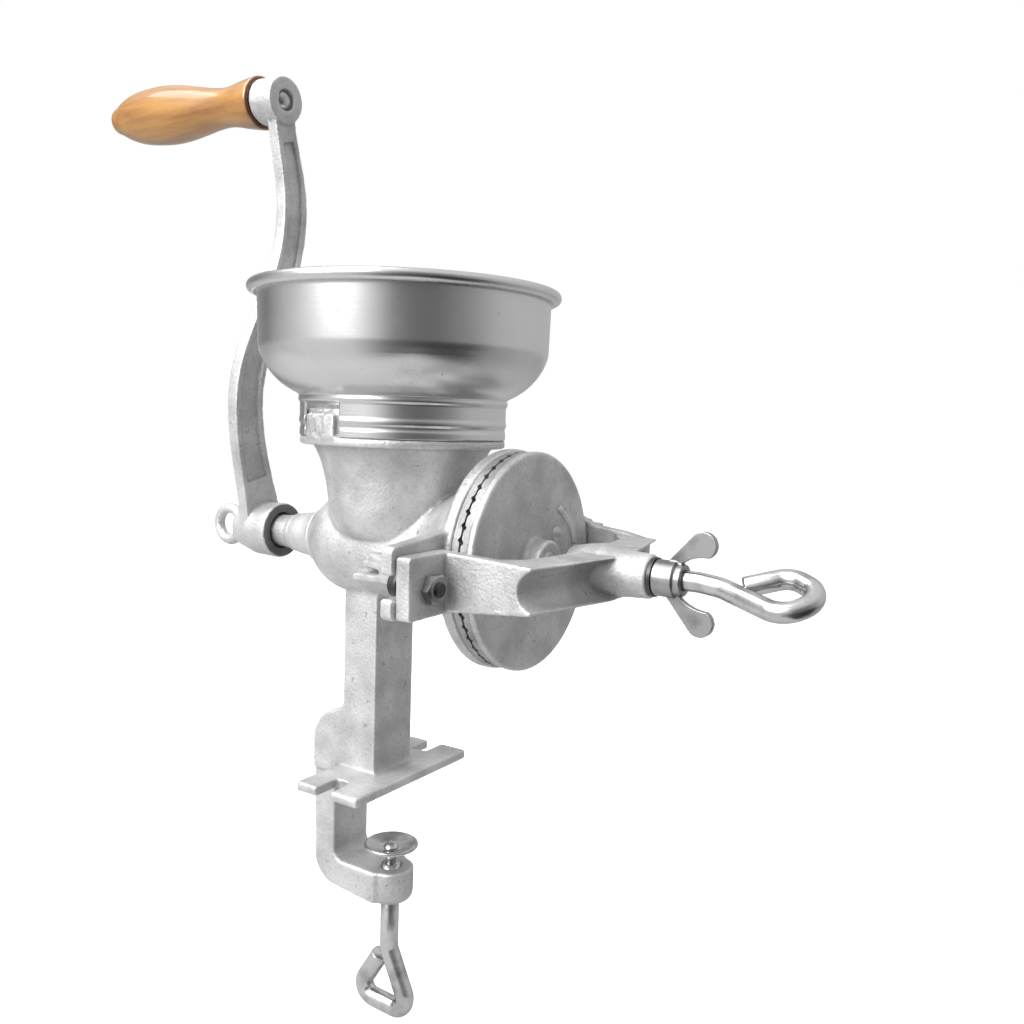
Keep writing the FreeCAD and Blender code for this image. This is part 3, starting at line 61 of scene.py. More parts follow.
def supply(tree, entry, source):
    """Join a socket to another node's output, or set it to a plain value."""
    if isinstance(source, bpy.types.NodeSocket):
        tree.links.new(source, entry)
    else:
        entry.default_value = source


def new_finish(name, metallic):
    """An empty material: its node tree, its shader and the place on the object."""
    finish = bpy.data.materials.new(name)
    finish.use_nodes = True
    tree = finish.node_tree
    shader = tree.nodes["Principled BSDF"]
    shader.inputs["Metallic"].default_value = metallic
    return finish, tree, shader, tree.nodes.new("ShaderNodeTexCoord").outputs["Object"]


def noise_on(tree, place, scale, detail=4.0, roughness=0.5):
    """Cloudy noise over the object, finer with a larger scale."""
    texture = tree.nodes.new("ShaderNodeTexNoise")
    texture.inputs["Scale"].default_value = scale
    texture.inputs["Detail"].default_value = detail
    texture.inputs["Roughness"].default_value = roughness
    supply(tree, texture.inputs["Vector"], place)
    return texture.outputs["Fac"]


def ramp(tree, value, stops):
    """Colour that follows a value through grey levels or colours."""
    node = tree.nodes.new("ShaderNodeValToRGB")
    while len(node.color_ramp.elements) < len(stops):
        node.color_ramp.elements.new(0.5)
    for element, (position, colour) in zip(node.color_ramp.elements, stops):
        element.position = position
        element.color = (*colour, 1) if isinstance(colour, tuple) else (colour, colour, colour, 1)
    supply(tree, node.inputs["Fac"], value)
    return node.outputs["Color"]


def spread(tree, value, low, high, first=0.0, last=1.0):
    """The value moved from one range to another."""
    node = tree.nodes.new("ShaderNodeMapRange")
    node.inputs["From Min"].default_value = first
    node.inputs["From Max"].default_value = last
    node.inputs["To Min"].default_value = low
    node.inputs["To Max"].default_value = high
    supply(tree, node.inputs["Value"], value)
    return node.outputs["Result"]


def bump(tree, height, strength, distance, under=None):
    """Fine relief in the skin, in metres, laid over a coarser one if there is one."""
    node = tree.nodes.new("ShaderNodeBump")
    node.inputs["Strength"].default_value = strength
    node.inputs["Distance"].default_value = distance
    supply(tree, node.inputs["Height"], height)
    if under:
        supply(tree, node.inputs["Normal"], under)
    return node.outputs["Normal"]


def blended(tree, kind, factor, first, second):
    """The first colour with the second laid over it by the factor."""
    node = tree.nodes.new("ShaderNodeMix")
    node.data_type = "RGBA"
    node.blend_type = kind
    supply(tree, node.inputs["Factor"], factor)
    supply(tree, node.inputs["A"], first)
    supply(tree, node.inputs["B"], second)
    return node.outputs["Result"]


def tinned_iron(name, light=0.69, dark=0.50, grain=0.7):
    """Dipped tin over a sand-cast skin: pale, with soft blotches, fine grain, a few pits, painted
    shade in its creases and painted highlights on its edges.
    """
    finish, tree, shader, place = new_finish(name, 0.7)
    blotches = noise_on(tree, place, 55, 5)
    sand = noise_on(tree, place, 700, 4, 0.65)
    pits = spread(tree, noise_on(tree, place, 260, 2), 0, 1, 0.68, 0.75)
    painted_crease_and_edge_light = tree.nodes.new("ShaderNodeNewGeometry").outputs["Pointiness"]
    tone = ramp(tree, blotches, ((0.34, dark), (0.62, light)))
    speck = ramp(tree, sand, ((0.30, 0.70), (0.52, 1.0)))
    stain = ramp(tree, pits, ((0.0, 1.0), (1.0, 0.4)))
    # Painted shade darkens hollows and creases, and a painted highlight brightens convex edges, by
    # the surface's pointiness.
    edge = ramp(tree, painted_crease_and_edge_light, ((0.44, 0.45), (0.495, 0.92), (0.52, 1.0), (0.56, 1.25)))
    tone = blended(tree, "MULTIPLY", 0.6, tone, speck)
    tone = blended(tree, "MULTIPLY", 0.9, tone, edge)
    supply(tree, shader.inputs["Base Color"], blended(tree, "MULTIPLY", 0.6, tone, stain))
    supply(tree, shader.inputs["Roughness"], spread(tree, blotches, 0.42, 0.60))
    shallow = bump(tree, stain, 0.35, 0.0003)
    supply(tree, shader.inputs["Normal"], bump(tree, sand, grain, 0.0005, shallow))
    return finish


def piece_of(mesh, name):
    """Put a mesh in the scene as a piece of its own, shaded smooth."""
    data = bpy.data.meshes.new(name)
    mesh.to_mesh(data)
    mesh.free()
    data.shade_smooth()
    piece = bpy.data.objects.new(name, data)
    bpy.context.scene.collection.objects.link(piece)
    return piece


def turned_out(mesh, name):
    """The drawn mesh as a piece, with all its faces turned outwards."""
    bmesh.ops.recalc_face_normals(mesh, faces=mesh.faces)
    return piece_of(mesh, name)


def merged_copy(node, name):
    """A welded copy of a solid's mesh, for shaping further."""
    copy = bmesh.new()
    copy.from_mesh(nodes[node].data)
    bmesh.ops.remove_doubles(copy, verts=copy.verts, dist=0.01 * mm)
    return piece_of(copy, name)


def settle(piece):
    """Make the piece's modifiers part of its mesh and shade it smooth."""
    graph = bpy.context.evaluated_depsgraph_get()
    data = bpy.data.meshes.new_from_object(piece.evaluated_get(graph))
    piece.modifiers.clear()
    piece.data = data
    data.shade_smooth()


def roughen(piece, depth, wave):
    """Sink the skin unevenly, as a sand mould leaves it."""
    skin = piece.data
    places = [v.co.copy() for v in skin.vertices]
    normals = [v.normal.copy() for v in skin.vertices]
    sunk = []
    for place, normal in zip(places, normals):
        broad = noise.noise(place / wave)
        fine = noise.noise(place / wave * 3.3)
        sunk.extend(place - normal * depth * (0.5 + 0.5 * broad + 0.3 * fine))
    skin.vertices.foreach_set("co", sunk)
    skin.update()


def cast_skin(node, name, grid, passes, keep, depth=0.16, wave=6.0):
    """The solid as the mould leaves it: every edge rounded, the surface a little uneven.

    The skin is a net of the grid's size in millimetres, softened by so many passes and
    thinned to the share that is kept. Its hollows have this depth and wave length."""
    piece = merged_copy(node, name)
    skin = piece.modifiers.new("skin", "REMESH")
    skin.mode = "VOXEL"
    skin.voxel_size = grid * mm
    soften = piece.modifiers.new("soften", "SMOOTH")
    soften.factor = 0.5
    soften.iterations = passes
    thin = piece.modifiers.new("thin", "DECIMATE")
    thin.ratio = keep
    settle(piece)
    roughen(piece, depth * mm, wave * mm)
    return piece


def stand_in(piece, node, finish):
    """Show the piece in place of a solid, with its finish."""
    piece.data.materials.clear()
    piece.data.materials.append(finish)
    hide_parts(node)


def arc(centre, radius, start, end, steps):
    """Points of an arc in the plane of a profile, angles in degrees."""
    turns = [math.radians(start + (end - start) * i / steps) for i in range(steps + 1)]
    return [(centre[0] + radius * math.cos(t), centre[1] + radius * math.sin(t)) for t in turns]


def held(profile, reach=0.5):
    """The profile with extra points beside its corners, so that straight parts stay straight."""
    out = [profile[0]]
    for (r0, a0), (r1, a1) in zip(profile, profile[1:]):
        length = math.hypot(r1 - r0, a1 - a0)
        if length > 4 * reach:
            share = reach / length
            out += [(r0 + (r1 - r0) * t, a0 + (a1 - a0) * t) for t in (share, 1 - share)]
        out.append((r1, a1))
    return out


def spun(name, profile, axis, centre=(0, 0, shaft_height), steps=180):
    """Ring turned from a closed profile of (radius, along) points in millimetres."""
    turned = bmesh.new()
    along = Vector(axis).normalized()
    out = along.orthogonal().normalized()
    middle = Vector(centre) * mm
    corners = [turned.verts.new(middle + (out * r + along * a) * mm) for r, a in held(profile)]
    edges = [turned.edges.new(pair) for pair in zip(corners, corners[1:] + corners[:1])]
    bmesh.ops.spin(turned, geom=corners + edges, cent=middle, axis=along,
                   angle=2 * math.pi, steps=steps, use_merge=True)
    bmesh.ops.remove_doubles(turned, verts=turned.verts, dist=0.004 * mm)
    return turned_out(turned, name)


iron_skin = tinned_iron("tinned_iron")
body = cast_skin("body_casting", "body", grid=0.9, passes=6, keep=0.5)

lug_place = Vector((-9.9, -48.8, shaft_height + 61.3)) * mm
lug_reach, lug_relief = 10.5 * mm, 1.1 * mm
lump_width, pock_width = 2.8 * mm, 1.2 * mm
for vertex in body.data.vertices:
    nearness = 1 - (vertex.co - lug_place).length / lug_reach
    if nearness > 0:
        lump = noise.noise(vertex.co / lump_width) + 0.6 * noise.noise(vertex.co / pock_width)
        vertex.co.y += lug_relief * min(1, nearness * 3) * lump
stand_in(body, "body_casting", iron_skin)
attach(body, "frame")

line_relief = 0.6
neck_lines = ((-50.2, 14.5), (-69.5, 9.6))
for along, radius in neck_lines:
    line = spun("neck_line", arc((radius, along), line_relief, 0, 330, 11), (1, 0, 0), steps=90)
    line.data.materials.append(iron_skin)
    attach(line, "frame")

# Hopper bowl: spun from tinned sheet, satin outside, with a rolled rim and a drawn neck.
# It drops over the throat's spigot, where a notch in the neck fits round a cast lug.

sheet = 0.8
rim_radius, rim_height, wall_radius = 75.0, 121.8, 70.2
bead_radius = (rim_radius - wall_radius + sheet) / 2
bead = (rim_radius - bead_radius, rim_height)
bead_foot = 360 - math.degrees(math.acos((wall_radius - bead[0]) / bead_radius))
neck_radius, foot_height, bead_out, groove_in = 49.8, 53.4, 0.8, 0.35
upper_bead, lower_bead = 70.5, 60.5
floor_start, floor_belly, crease_place, wall_start = (52.0, 73.5), (64.9, 84.2), (69.6, 94.0), 104.0
notch_middle, notch_half, notch_top = math.radians(-101.5), math.radians(15.5), 69.4


def three_point_arc(start, middle, end, steps):
    """Points of the arc through three points of a profile."""
    (ax, ay), (bx, by), (cx, cy) = start, middle, end
    d = 2 * (ax * (by - cy) + bx * (cy - ay) + cx * (ay - by))
    squares = [x * x + y * y for x, y in (start, middle, end)]
    centre = ((squares[0] * (by - cy) + squares[1] * (cy - ay) + squares[2] * (ay - by)) / d,
              (squares[0] * (cx - bx) + squares[1] * (ax - cx) + squares[2] * (bx - ax)) / d)
    angles = [math.degrees(math.atan2(y - centre[1], x - centre[0])) for x, y in (start, end)]
    return arc(centre, math.hypot(ax - centre[0], ay - centre[1]), angles[0], angles[1], steps)


def softened(profile, radius, steps=3):
    """The profile with its inner corners cut by small arcs."""
    points = [Vector(p) for p in profile]
    out = [points[0]]
    for before, corner, after in zip(points, points[1:], points[2:]):
        reach = min(radius, (corner - before).length * 0.45, (after - corner).length * 0.45)
        start = corner + (before - corner).normalized() * reach
        end = corner + (after - corner).normalized() * reach
        for i in range(steps + 1):
            t = i / steps
            out.append(start * (1 - t) ** 2 + corner * 2 * t * (1 - t) + end * t * t)
    out.append(points[-1])
    return [(p.x, p.y) for p in out]


def bowl_side(inset):
    """The sheet's outer face from the neck's foot to the wall, or its inner face."""
    neck = [(neck_radius + r - inset, z) for r, z in (
        (0, foot_height), (0, lower_bead - 4.1), (-groove_in, lower_bead - 3.1),
        (-groove_in, lower_bead - 1.9), (groove_in, lower_bead - 0.7),
        (groove_in, lower_bead + 0.8), (0, lower_bead + 1.9), (0, upper_bead - 1.6),
        (bead_out, upper_bead - 0.6), (bead_out, upper_bead + 0.7), (0.3, upper_bead + 1.8))]
    (r0, z0), (r1, z1), (r2, z2) = floor_start, floor_belly, crease_place
    floor = three_point_arc((r0 - inset * 0.6, z0 + inset), (r1 - inset * 0.7, z1 + inset * 0.7),
                            (r2 - inset, z2), 26)
    wall = (floor[-1][0] + 0.2, wall_start)
    crease = softened([floor[-5], floor[-1], wall], 2.4, 6)
    return softened(neck + floor[:1], 0.8)[:-1] + floor[:-5] + crease[:-1]


def notch_cutter():
    """The wedge that leaves the notch when it is cut from the neck, open at its foot."""
    wedge_reach, wedge_low = 90.0, 45.0
    wedge = bmesh.new()
    corners = [Vector((0, 0, 0))]
    for turn in (notch_middle - notch_half, notch_middle + notch_half):
        corners.append(Vector((math.cos(turn), math.sin(turn), 0)) * wedge_reach)
    foot = Vector((0, 0, shaft_height + wedge_low))
    base = wedge.faces.new([wedge.verts.new((corner + foot) * mm) for corner in corners])
    raised = bmesh.ops.extrude_face_region(wedge, geom=[base])["geom"]
    bmesh.ops.translate(wedge, verts=[v for v in raised if isinstance(v, bmesh.types.BMVert)],
                        vec=(0, 0, (notch_top - wedge_low) * mm))
    return turned_out(wedge, "notch")


def spun_tin(name):
    """Tinned sheet turned on a lathe: satin, with faint rings round the bowl and a few specks."""
    finish, tree, shader, place = new_finish(name, 1.0)
    height = tree.nodes.new("ShaderNodeSeparateXYZ")
    supply(tree, height.inputs["Vector"], place)
    rings = tree.nodes.new("ShaderNodeTexNoise")
    rings.noise_dimensions = "1D"
    rings.inputs["Scale"].default_value = 700
    rings.inputs["Detail"].default_value = 3
    supply(tree, rings.inputs["W"], height.outputs["Z"])
    clouds = noise_on(tree, place, 30, 5)
    grain = noise_on(tree, place, 1500, 3)
    under = bump(tree, rings.outputs["Fac"], 0.05, 0.0003)
    supply(tree, shader.inputs["Normal"], bump(tree, grain, 0.05, 0.0002, under))
    supply(tree, shader.inputs["Roughness"], spread(tree, clouds, 0.24, 0.32))
    tone = ramp(tree, clouds, ((0.3, 0.60), (0.7, 0.67)))
    specks = ramp(tree, noise_on(tree, place, 420, 1), ((0.78, 1.0), (0.81, 0.5)))
    supply(tree, shader.inputs["Base Color"], blended(tree, "MULTIPLY", 0.8, tone, specks))
    return finish


rolled_rim = arc(bead, bead_radius, bead_foot, 540, 32)
bowl = spun("bowl", bowl_side(0) + rolled_rim + bowl_side(sheet)[::-1], (0, 0, 1), steps=240)
cutter = notch_cutter()
cut = bowl.modifiers.new("notch", "BOOLEAN")
cut.operation = "DIFFERENCE"
cut.solver = "EXACT"
cut.object = cutter
settle(bowl)
bpy.data.objects.remove(cutter)
stand_in(bowl, "hopper_bowl", spun_tin("tinned_sheet"))
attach(bowl, "hopper")

# Worm shaft: a cast iron flight on a turned shaft, which draws the grain from the throat
# through the barrel. A cross pin of plain steel in its end drives the carrier disc.


def dress(node, finish):
    """Give a solid its finish as it stands."""
    nodes[node].data.materials.clear()
    nodes[node].data.materials.append(finish)


def plated_steel(name, colour, low, high, stain=0.55):
    """Bright plated steel with a faint cloudy stain and fine draw marks."""
    finish, tree, shader, place = new_finish(name, 1.0)
    clouds = noise_on(tree, place, 90, 5)
    tone = ramp(tree, clouds, ((0.30, colour * stain), (0.52, colour)))
    supply(tree, shader.inputs["Roughness"], spread(tree, clouds, low, high))
    supply(tree, shader.inputs["Base Color"], tone)
    supply(tree, shader.inputs["Normal"], bump(tree, noise_on(tree, place, 320, 3), 0.08, 0.0004))
    return finish


dull_steel = plated_steel("zinc_steel", 0.62, 0.28, 0.42)
dress("worm_shaft", iron_skin)
dress("drive_pin", dull_steel)

# Burrs: two rings of bare chilled iron with slanted teeth, face to face, which grind the
# grain. Three screws hold the fixed one on the flange.
burr_iron = tinned_iron("burr_iron", 0.42, 0.22)
dress("fixed_burr", burr_iron)
dress("fixed_burr_screws", dull_steel)
dress("moving_burr", burr_iron)

# Carrier disc: a smooth tinned casting with a hub on its front and a short curved ridge.
# Two rivets hold the moving burr on its back, and both turn with the worm shaft.

disc_face = 78.1
ridge_radius, ridge_end = 1.3, 1.0
ridge_course = [(disc_face, y, shaft_height + z) for y, z in (
    (19.6, 23.6), (25.3, 19.2), (30.8, 14.6), (34.0, 9.8), (35.2, 4.6))]


def smooth_run(points, end_slope, steps=6):
    """Points of a smooth curve through the given ones.

    Its ends run on straight with an end slope of 1, and ease off with one of 0."""
    knots = [Vector(p) for p in points]
    before = knots[0] + (knots[0] - knots[1]) * end_slope
    after = knots[-1] + (knots[-1] - knots[-2]) * end_slope
    padded = [before, *knots, after]
    run = []
    for a, b, c, d in zip(padded, padded[1:], padded[2:], padded[3:]):
        for i in range(steps):
            t = i / steps
            run.append((b * 2 + (c - a) * t + (a * 2 - b * 5 + c * 4 - d) * t * t
                        + (b * 3 - a - c * 3 + d) * t ** 3) * 0.5)
    return run + [knots[-1]]


def drawn_rod(mesh, radius, line, tip=0.0, sides=40):
    """Round rod along a centre line, its far end rounded over by the tip's radius."""
    ends = line[:1] + line + line[-1:]
    headings = [(after - before).normalized() for before, after in zip(ends, ends[2:])]
    stations = [(place, heading, radius) for place, heading in zip(line, headings)]
    if tip:
        end, heading, _ = stations.pop()
        for turn in (0, math.pi / 6, math.pi / 3, math.pi / 2):
            place = end - heading * tip * (1 - math.sin(turn))
            stations.append((place, heading, radius - tip * (1 - math.cos(turn))))
    side = headings[0].orthogonal().normalized()
    ring = []
    for index, (place, heading, reach) in enumerate(stations):
        side = (side - heading * side.dot(heading)).normalized()
        stance = Matrix((side, heading.cross(side), heading)).transposed().to_4x4()
        circle = bmesh.ops.create_circle(mesh, cap_ends=index in (0, len(stations) - 1),
                                         segments=sides, radius=reach * mm,
                                         matrix=Matrix.Translation(place * mm) @ stance)
        last_ring, ring = ring, list({edge for v in circle["verts"] for edge in v.link_edges})
        if last_ring:
            bmesh.ops.bridge_loops(mesh, edges=last_ring + ring)


disc = cast_skin("carrier_disc", "disc", grid=0.6, passes=4, keep=0.8, depth=0.10, wave=9.0)
stand_in(disc, "carrier_disc", iron_skin)
ridge_mesh = bmesh.new()
drawn_rod(ridge_mesh, ridge_radius, smooth_run(ridge_course, end_slope=1), ridge_end, 16)
ridge = turned_out(ridge_mesh, "disc_ridge")
ridge.data.materials.append(iron_skin)
for piece in (disc, ridge):
    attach(piece, "crank")
dress("burr_rivets", iron_skin)

# Yoke: a bow-shaped tinned casting with a lug at each end and a threaded boss in the middle.
# It spans the discs, is bolted to the body's two ears, and carries the adjusting screw.
bow = cast_skin("yoke", "bow", grid=0.6, passes=5, keep=0.45)
stand_in(bow, "yoke", iron_skin)
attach(bow, "frame")

# Yoke bolts, washers and nuts: quarter-inch steel, one set in each ear's slot.
# The bolts and washers are a near-black steel, and the nuts are plated a dull grey.
# Near-black steel, much darker than the plated parts.
dark_steel = plated_steel("dark_steel", 0.10, 0.35, 0.5)
for node in ("yoke_bolts", "yoke_washers"):
    dress(node, dark_steel)
dress("yoke_nuts", plated_steel("nut_steel", 0.38, 0.30, 0.42))

# Thrust ball: hardened steel, loose between cups in the worm shaft's end and in the
# adjusting screw's. It takes the push of the grinding.
dress("thrust_ball", dull_steel)

# Adjusting screw: a plated rod threaded through the yoke's boss, its tail bent into a
# teardrop eye. Turning it sets the gap between the burrs.

bright_steel = plated_steel("bright_steel", 0.60, 0.17, 0.30)
adjuster_radius, adjuster_start, sag_start = 4.3, 90.0, 157.0
eye_start, eye_length, eye_drop, eye_tilt = 166.0, 43.0, 1.0, math.radians(32)
across = Vector((0, -math.cos(eye_tilt), -math.sin(eye_tilt)))


def bent_path(points, bends):
    """Centre line through the points, in millimetres, with an arc at each inner one."""
    places = [Vector(p) for p in points]
    line = [places[0]]
    for before, corner, after, bend in zip(places, places[1:], places[2:], bends):
        into, out_of = (corner - before).normalized(), (after - corner).normalized()
        turn = into.angle(out_of)
        start = corner - into * bend * math.tan(turn / 2)
        axis = into.cross(out_of).normalized()
        centre = start + axis.cross(into) * bend
        steps = max(2, round(math.degrees(turn) / 4))
        line += [centre + Matrix.Rotation(turn * i / steps, 3, axis) @ (start - centre)
                 for i in range(steps + 1)]
    return line + [places[-1]]


def in_eye(along, aside):
    """A place in the eye's plane: a share of its length, and millimetres to one side."""
    foot = Vector((eye_start + along * eye_length, 0, shaft_height - eye_drop))
    return foot + across * aside


adjuster = bmesh.new()
drawn_rod(adjuster, adjuster_radius, bent_path(
    [(adjuster_start, 0, shaft_height), (sag_start, 0, shaft_height), in_eye(0, 0),
     in_eye(0.66, 11.8), in_eye(1.0, -1.5), in_eye(0.60, -11.4), in_eye(0.21, -1.8)],
    (14, 16, 11, 8, 10)), tip=0.9)
eye = turned_out(adjuster, "eye_screw")
stand_in(eye, "adjusting_screw", bright_steel)
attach(eye, "adjuster")

# Lock washer and wing nut: a near-black steel washer under a cast, plated nut with two teardrop
# wings. Run up against the yoke's boss, they hold the adjusting screw as it is set.
dress("lock_washer", dark_steel)
wings = cast_skin("wing_nut", "wings", grid=0.32, passes=4, keep=0.8, depth=0.04, wave=4.0)
stand_in(wings, "wing_nut", plated_steel("wing_steel", 0.38, 0.30, 0.42))
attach(wings, "wing")

# Crank arm: an S-shaped tinned casting, grooved down its faces, with a hub at each end.
# The lower hub sits on the worm shaft, and its face towards the barrel is dark with oil.
crank = cast_skin("crank_arm", "crank", grid=0.6, passes=4, keep=0.5)
stand_in(crank, "crank_arm", iron_skin)
crank.data.materials.append(tinned_iron("oiled_iron", 0.22, 0.14))
hub_face, face_depth = -81.3 * mm, 0.8 * mm
for face in crank.data.polygons:
    if face.normal.x > 0.75 and abs(face.center.x - hub_face) < face_depth:
        face.material_index = 1
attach(crank, "crank")

# Thumb screw: a rough cast ring on a threaded shank, tinned like the crank. It is screwed
# into the worm shaft's end by hand, and holds the crank on it.
thumb = cast_skin("crank_thumb_screw", "thumb", grid=0.5, passes=4, keep=0.8, depth=0.3, wave=3.5)
stand_in(thumb, "crank_thumb_screw", iron_skin)
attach(thumb, "crank")

# Handle: turned hardwood under clear varnish, with the end at the hub stained darker.
# It spins on its bolt, and a pocket in its tail takes the bolt's washer and nut.

crank_length, crank_lean, arm_face = 225.0, math.radians(2.8), -95.0
hub_proud, hub_length, end_gap = 1.4, 16.0, 0.5
handle_start, handle_length = arm_face + hub_proud - hub_length - end_gap, 120.0
bolt_hole, pocket_radius, pocket_depth = 3.6, 6.5, 9.0
lean = (Matrix.Translation(Vector((arm_face, 0, shaft_height)) * mm)
        @ Matrix.Rotation(crank_lean, 4, "Y")
        @ Matrix.Translation(Vector((-arm_face, 0, -shaft_height)) * mm))
swell = [(13.5, -1.6), (12.1, -12), (10.7, -20), (10.1, -28), (10.9, -38), (12.8, -50),
         (14.7, -63), (15.6, -75), (15.2, -88), (14.0, -99), (11.7, -108), (9.0, -115),
         (7.3, -handle_length)]


def varnished_wood(name, light, dark):
    """Straight-grained wood along X under a clear coat."""
    finish, tree, shader, place = new_finish(name, 0.0)
    stretch = tree.nodes.new("ShaderNodeMapping")
    stretch.inputs["Scale"].default_value = (14, 160, 160)
    supply(tree, stretch.inputs["Vector"], place)
    grain = noise_on(tree, stretch.outputs["Vector"], 1.0, 6, 0.55)
    supply(tree, shader.inputs["Base Color"], ramp(tree, grain, ((0.30, dark), (0.66, light))))
    supply(tree, shader.inputs["Normal"], bump(tree, grain, 0.08, 0.0004))
    shader.inputs["Roughness"].default_value = 0.36
    shader.inputs["Coat Weight"].default_value = 0.8
    shader.inputs["Coat Roughness"].default_value = 0.10
    return finish


profile = [(bolt_hole, 0), (12.4, 0), (13.1, -0.5)]
profile += [(radius, along) for radius, along in smooth_run(swell, end_slope=0)]
profile += [(pocket_radius, -handle_length), (pocket_radius, -handle_length + pocket_depth),
            (bolt_hole, -handle_length + pocket_depth)]
grip = spun("grip", profile, (1, 0, 0), (handle_start, 0, shaft_height + crank_length), 128)
grip.data.transform(lean)
stand_in(grip, "handle_grip",
         varnished_wood("varnished_wood", (0.48, 0.225, 0.04), (0.23, 0.09, 0.015)))
grip.data.materials.append(varnished_wood("stained_end", (0.16, 0.05, 0.02), (0.08, 0.025, 0.01)))
end_normal = lean.to_3x3() @ Vector((1, 0, 0))
stain_depth = 2.0
for face in grip.data.polygons:
    if face.normal.dot(end_normal) > 0.5 and face.center.x > (handle_start - stain_depth) * mm:
        face.material_index = 1
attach(grip, "grip")

# Handle bolt, washer and nut: plated steel. The bolt's head is sunk in the crank's upper
# hub, and the washer and nut lie in the pocket at the handle's tail.
for node in ("handle_bolt", "handle_washer", "handle_nut"):
    dress(node, dull_steel)

# Clamp screw: a plated rod threaded up through the jaw, its lower end bent into a triangular
# loop for the hand. A thinner neck carries the pad, under a round rivet head.

clamp_x, clamp_radius, clamp_neck, jaw_floor = -2.2, 4.75, 2.7, -165.5
loop_bend = jaw_floor - 44.3
loop_low = loop_bend - 31.6
loop_right, loop_left, loop_rise = 15.0, 21.0, 1.5
pad_under, pad_thickness = jaw_floor + 8.0, 1.5
rivet_radius, rivet_sink, rivet_rise = 4.2, 1.4, 0.1


def below(x, z):
    """A place in the loop's plane: millimetres beside the screw, and above the worm shaft."""
    return Vector((clamp_x + x, 0, shaft_height + z))


clamp = bmesh.new()
drawn_rod(clamp, clamp_radius, bent_path(
    [below(0, jaw_floor + 1), below(0, loop_bend), below(loop_right, loop_low),
     below(-loop_left, loop_low + loop_rise), below(-5.3, loop_bend - 5.5)],
    (6, 6.5, 6.5)), tip=0.6)
drawn_rod(clamp, clamp_neck, [below(0, jaw_floor), below(0, pad_under + 2)])
pad_top = pad_under + pad_thickness
rivet_place = Matrix.Translation(below(0, pad_top - rivet_sink) * mm)
rivet = bmesh.ops.create_uvsphere(clamp, u_segments=32, v_segments=16,
                                  radius=rivet_radius * mm, matrix=rivet_place)
rivet_foot = (shaft_height + pad_top + rivet_rise) * mm
buried = [v for v in rivet["verts"] if v.co.z < rivet_foot]
bmesh.ops.delete(clamp, geom=buried, context="VERTS")
screw = turned_out(clamp, "loop_screw")
stand_in(screw, "clamp_screw", bright_steel)
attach(screw, "clamp")

# Clamp pad: a round cap pressed from steel sheet and plated, hollow side up, with a rolled
# rim. It is held loosely on the screw's neck, so that it stands still as the screw turns.
dish, flat, pad_radius, pad_hole, rim_bead = 2.6, 5.5, 13.8, 2.75, 1.1
rim_centre = (pad_radius - rim_bead, pad_under + dish + 0.3)
section = [(pad_hole, pad_under), (flat, pad_under), (pad_radius - 2.2, pad_under + dish - 0.7)]
section += arc(rim_centre, rim_bead, -70, 110, 12)
section += [(pad_radius - 2.8, pad_under + dish + 0.7), (flat, pad_top), (pad_hole, pad_top)]
pad = spun("pad", softened(section, 0.5), (0, 0, 1), (clamp_x, 0, shaft_height), 96)
stand_in(pad, "clamp_pad", bright_steel)
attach(pad, "pad")

# Studio: a pale floor under two soft lamps, and a white surround for the camera. The metal
# mirrors a band of light and dark cards all round, with the brightest at the mill's left.

floor_half, floor_middle, floor_drop = 1.6, (-1.28, 1.28), 0.002
floor_mesh = bmesh.new()
bmesh.ops.create_grid(floor_mesh, x_segments=1, y_segments=1, size=floor_half)
bmesh.ops.translate(floor_mesh, verts=floor_mesh.verts, vec=(*floor_middle, cad_low[2] - floor_drop))
floor = turned_out(floor_mesh, "floor")
pale = bpy.data.materials.new("pale_floor")
pale.use_nodes = True
paint = pale.node_tree.nodes["Principled BSDF"]
paint.inputs["Base Color"].default_value = (0.5, 0.5, 0.5, 1)
paint.inputs["Roughness"].default_value = 0.9
paint.inputs["Emission Color"].default_value = (1, 1, 1, 1)
watched = pale.node_tree.nodes.new("ShaderNodeLightPath").outputs["Is Camera Ray"]
supply(pale.node_tree, paint.inputs["Emission Strength"],
       spread(pale.node_tree, watched, 0.0, 0.88))
floor.data.materials.append(pale)

world = bpy.data.worlds.new("studio")
bpy.context.scene.world = world
world.use_nodes = True
air = world.node_tree
direction = air.nodes.new("ShaderNodeTexCoord").outputs["Generated"]


def facing(way):
    """How much a direction of the surround points one way, from -1 to 1."""
    node = air.nodes.new("ShaderNodeVectorMath")
    node.operation = "DOT_PRODUCT"
    supply(air, node.inputs[0], direction)
    node.inputs[1].default_value = Vector(way)
    return node.outputs["Value"]


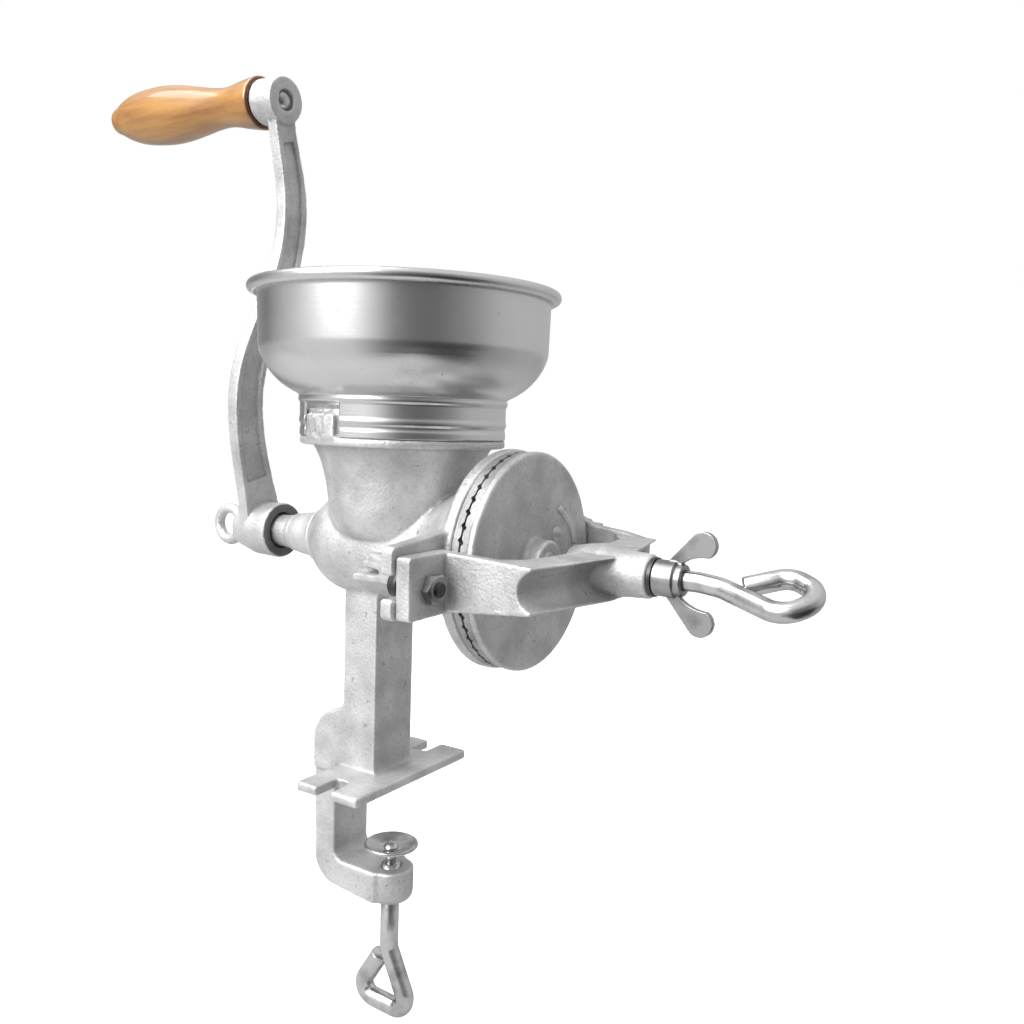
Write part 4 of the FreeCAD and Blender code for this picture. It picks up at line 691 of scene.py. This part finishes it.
front, right = (0.632, -0.775, 0), (0.775, 0.632, 0)
bearing = air.nodes.new("ShaderNodeMath")
bearing.operation = "ARCTAN2"
supply(air, bearing.inputs[0], facing(right))
supply(air, bearing.inputs[1], facing(front))
round_about = spread(air, bearing.outputs["Value"], 0, 1, -math.pi, math.pi)


def panorama(levels):
    """Brightness of the surround by bearing in degrees, from the front of the mill to the right."""
    return ramp(air, round_about, [(0.5 + degrees / 360, level) for degrees, level in levels])


above = panorama((
    (-180, 0.55), (-130, 0.18), (-108, 0.55), (-78, 0.88), (-38, 0.88), (-22, 0.72),
    (-8, 0.18), (20, 0.19), (45, 0.38), (75, 0.68), (110, 0.66), (179, 0.55)))
below_eye = panorama((
    (-180, 0.6), (-125, 0.45), (-90, 0.90), (-45, 0.85), (-28, 0.45), (-12, 0.10),
    (25, 0.03), (52, 0.05), (75, 0.40), (110, 0.5), (179, 0.6)))
rise = facing((0, 0, 1))
cards = blended(air, "MIX", spread(air, rise, 0, 1, -0.12, 0.02), below_eye, above)
tent = blended(air, "MIX", spread(air, rise, 0, 1, 0.35, 0.85), cards, (0.9, 0.9, 0.9, 1))
seen = air.nodes.new("ShaderNodeLightPath").outputs["Is Camera Ray"]
supply(air, air.nodes["Background"].inputs["Color"], blended(air, "MIX", seen, tent, (1, 1, 1, 1)))

mill_middle, lamp_width = Vector((0, 0, 0.12)), 0.9


def lamp(name, place, power):
    """A soft square lamp that points at the mill."""
    light = bpy.data.lights.new(name, "AREA")
    light.size = lamp_width
    light.energy = power
    holder = bpy.data.objects.new(name, light)
    bpy.context.scene.collection.objects.link(holder)
    holder.location = place
    holder.rotation_euler = (mill_middle - Vector(place)).to_track_quat("-Z", "Y").to_euler()


lamp("key", (-0.30, -1.25, 0.95), 26)
lamp("top", (-0.45, -0.35, 1.25), 9)

lens = bpy.data.cameras.new("camera")
lens.lens = 34.312
lens.sensor_width = 36
lens.clip_start = 0.01
camera = bpy.data.objects.new("camera", lens)
bpy.context.scene.collection.objects.link(camera)
camera.location = (0.304871, -0.374241, 0.183356)
camera.rotation_euler = [math.radians(angle) for angle in (84.442807, -1.878335, 32.881136)]
bpy.context.scene.camera = camera
bpy.context.scene.view_settings.view_transform = "Standard"
